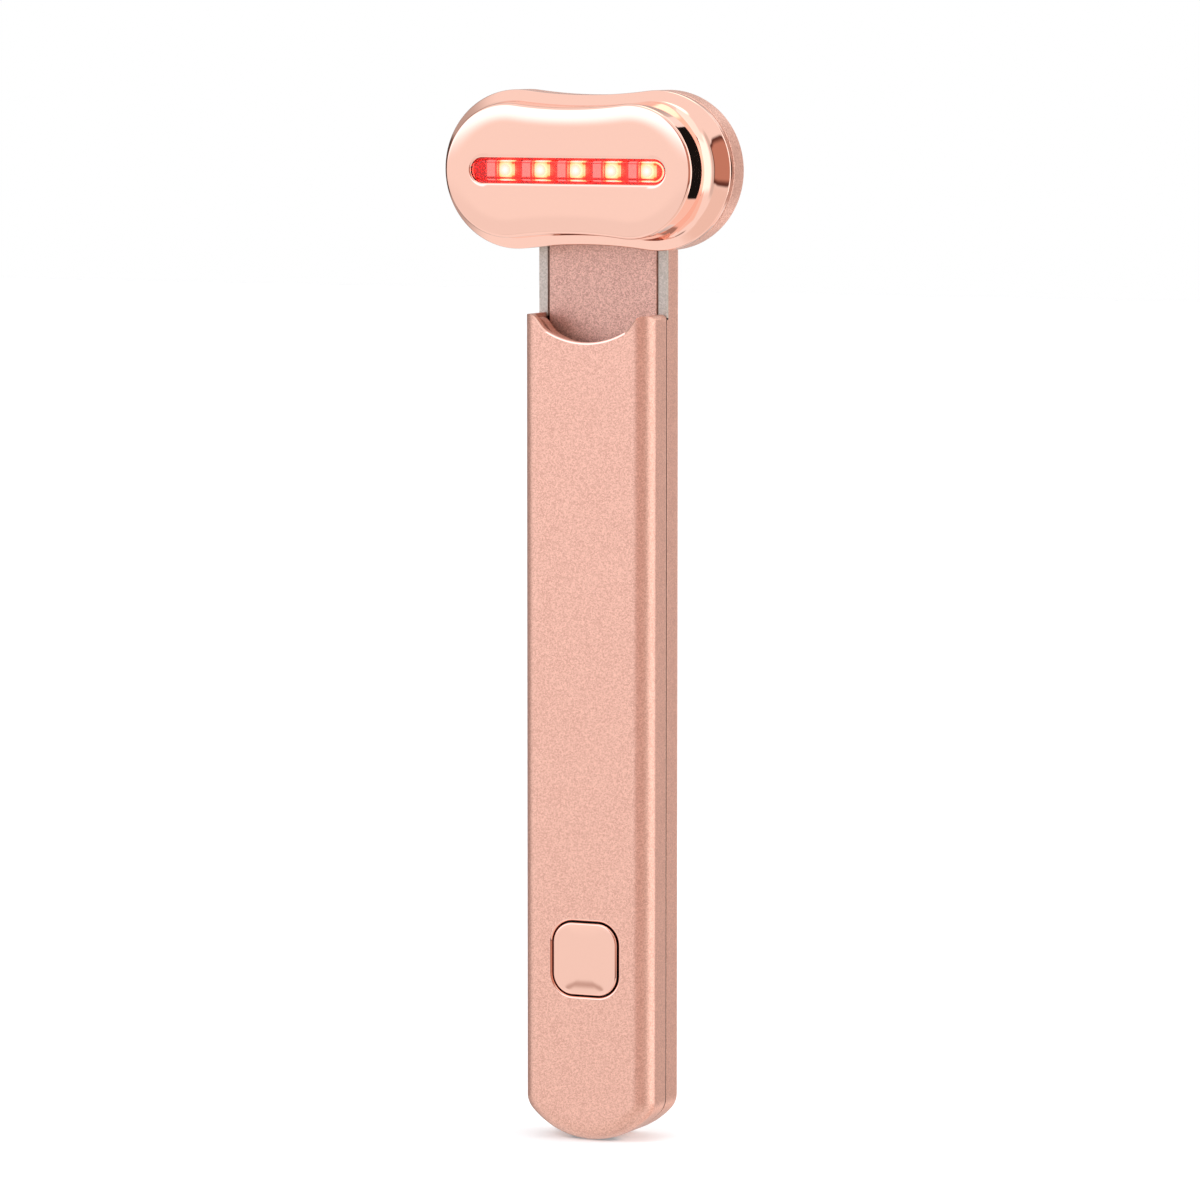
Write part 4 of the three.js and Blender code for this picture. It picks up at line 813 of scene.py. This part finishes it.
def studio():
    """Surroundings by compass angle (degrees to the right of the treatment side) and height."""
    world = bpy.data.worlds.new("studio")
    bpy.context.scene.world = world
    world.use_nodes = True
    nodes, links = world.node_tree.nodes, world.node_tree.links
    nodes.clear()

    def math_node(operation, *values):
        node = nodes.new("ShaderNodeMath")
        node.operation = operation
        for socket, value in zip(node.inputs, values):
            if isinstance(value, float):
                socket.default_value = value
            else:
                links.new(value, socket)
        return node.outputs["Value"]

    place = nodes.new("ShaderNodeTexCoord")
    split = nodes.new("ShaderNodeSeparateXYZ")
    links.new(place.outputs["Generated"], split.inputs["Vector"])
    ahead = math_node("MULTIPLY", split.outputs["Y"], -1.0)
    compass = math_node("ARCTAN2", split.outputs["X"], ahead)
    height = math_node("ARCSINE", split.outputs["Z"])

    def step(value, at, soft, low, high):
        node = nodes.new("ShaderNodeMapRange")
        node.interpolation_type = "SMOOTHSTEP"
        for name, level in (("From Min", math.radians(at - soft)),
                            ("From Max", math.radians(at + soft)),
                            ("To Min", low), ("To Max", high)):
            node.inputs[name].default_value = level
        links.new(value, node.inputs["Value"])
        return node.outputs["Result"]

    def mixed(factor, one, other):
        node = nodes.new("ShaderNodeMix")
        node.data_type = "RGBA"
        links.new(factor, node.inputs["Factor"])
        for socket, value in (("A", one), ("B", other)):
            colour_socket = next(i for i in node.inputs if i.name == socket and i.type == "RGBA")
            if isinstance(value, tuple):
                colour_socket.default_value = (*value, 1)
            else:
                links.new(value, colour_socket)
        return next(o for o in node.outputs if o.type == "RGBA")

    def card(under, colour, left, right, low, high, soft):
        """A card or soft box from compass angle left to right and from height low to high."""
        across = math_node("MULTIPLY", step(compass, left, soft, 0, 1),
                           step(compass, right, soft, 1, 0))
        up = math_node("MULTIPLY", step(height, low, soft, 0, 1), step(height, high, soft, 1, 0))
        return mixed(math_node("MULTIPLY", across, up), under, colour)

    path = nodes.new("ShaderNodeLightPath")
    seen = math_node("MAXIMUM", path.outputs["Is Camera Ray"], path.outputs["Is Transmission Ray"])
    mirrored = math_node("MAXIMUM", seen, path.outputs["Is Glossy Ray"])
    lit = mixed(mirrored, (ROOM,) * 3, WHITE)
    for setup in CARDS:
        lit = card(lit, *setup)
    background = nodes.new("ShaderNodeBackground")
    links.new(mixed(seen, lit, WHITE), background.inputs["Color"])
    output = nodes.new("ShaderNodeOutputWorld")
    links.new(background.outputs["Background"], output.inputs["Surface"])
    world.cycles.sampling_method = "MANUAL"
    world.cycles.sample_map_resolution = LIGHT_MAP


# Lamps: place in metres, watts
LAMPS = {"key": ((-0.5, -0.9, 1.1), 6.2), "fill": ((1.0, 0.25, 0.5), 6)}
LAMP_SIZE, LAMP_TARGET = 0.5, (0, 0, 0.09)


def area_light(name, place, watts):
    data = bpy.data.lights.new(name, "AREA")
    data.shape, data.size, data.energy = "DISK", LAMP_SIZE, watts
    lamp = bpy.data.objects.new(name, data)
    bpy.context.scene.collection.objects.link(lamp)
    lamp.location = Vector(place)
    aim = Vector(LAMP_TARGET) - lamp.location
    lamp.rotation_euler = aim.to_track_quat("-Z", "Y").to_euler()
    lamp.visible_glossy = False


# Camera: compass angle and height in degrees, metres to the point that it aims at, and how many
# millimetres that point lies below the pivot
AZIMUTH, ELEVATION, DISTANCE, AIM_DROP = 24.29, 5.62, 1.1139, 80
# Width of the picture, focal length and shift, all in its pixels
PICTURE_WIDTH, FOCAL_LENGTH, SHIFT = 1200, 6500, (15.1, 37.9)
SENSOR_WIDTH = 36


def camera():
    azimuth, elevation = math.radians(AZIMUTH), math.radians(ELEVATION)
    target = Vector((0, FRONT * MM, (PIVOT - AIM_DROP) * MM))
    away = Vector((math.sin(azimuth) * math.cos(elevation),
                   -math.cos(azimuth) * math.cos(elevation), math.sin(elevation)))
    data = bpy.data.cameras.new("camera")
    data.sensor_width = SENSOR_WIDTH
    data.lens = FOCAL_LENGTH / PICTURE_WIDTH * data.sensor_width
    data.shift_x, data.shift_y = (pixels / PICTURE_WIDTH for pixels in SHIFT)
    data.clip_start, data.clip_end = 0.05, 20
    made = bpy.data.objects.new("camera", data)
    bpy.context.scene.collection.objects.link(made)
    made.location = target + away * DISTANCE
    made.rotation_euler = (-away).to_track_quat("-Z", "Y").to_euler()
    bpy.context.scene.camera = made


floor()
studio()
for lamp_name, lamp_setup in LAMPS.items():
    area_light(lamp_name, *lamp_setup)
camera()
bpy.context.scene.view_settings.view_transform = "Standard"
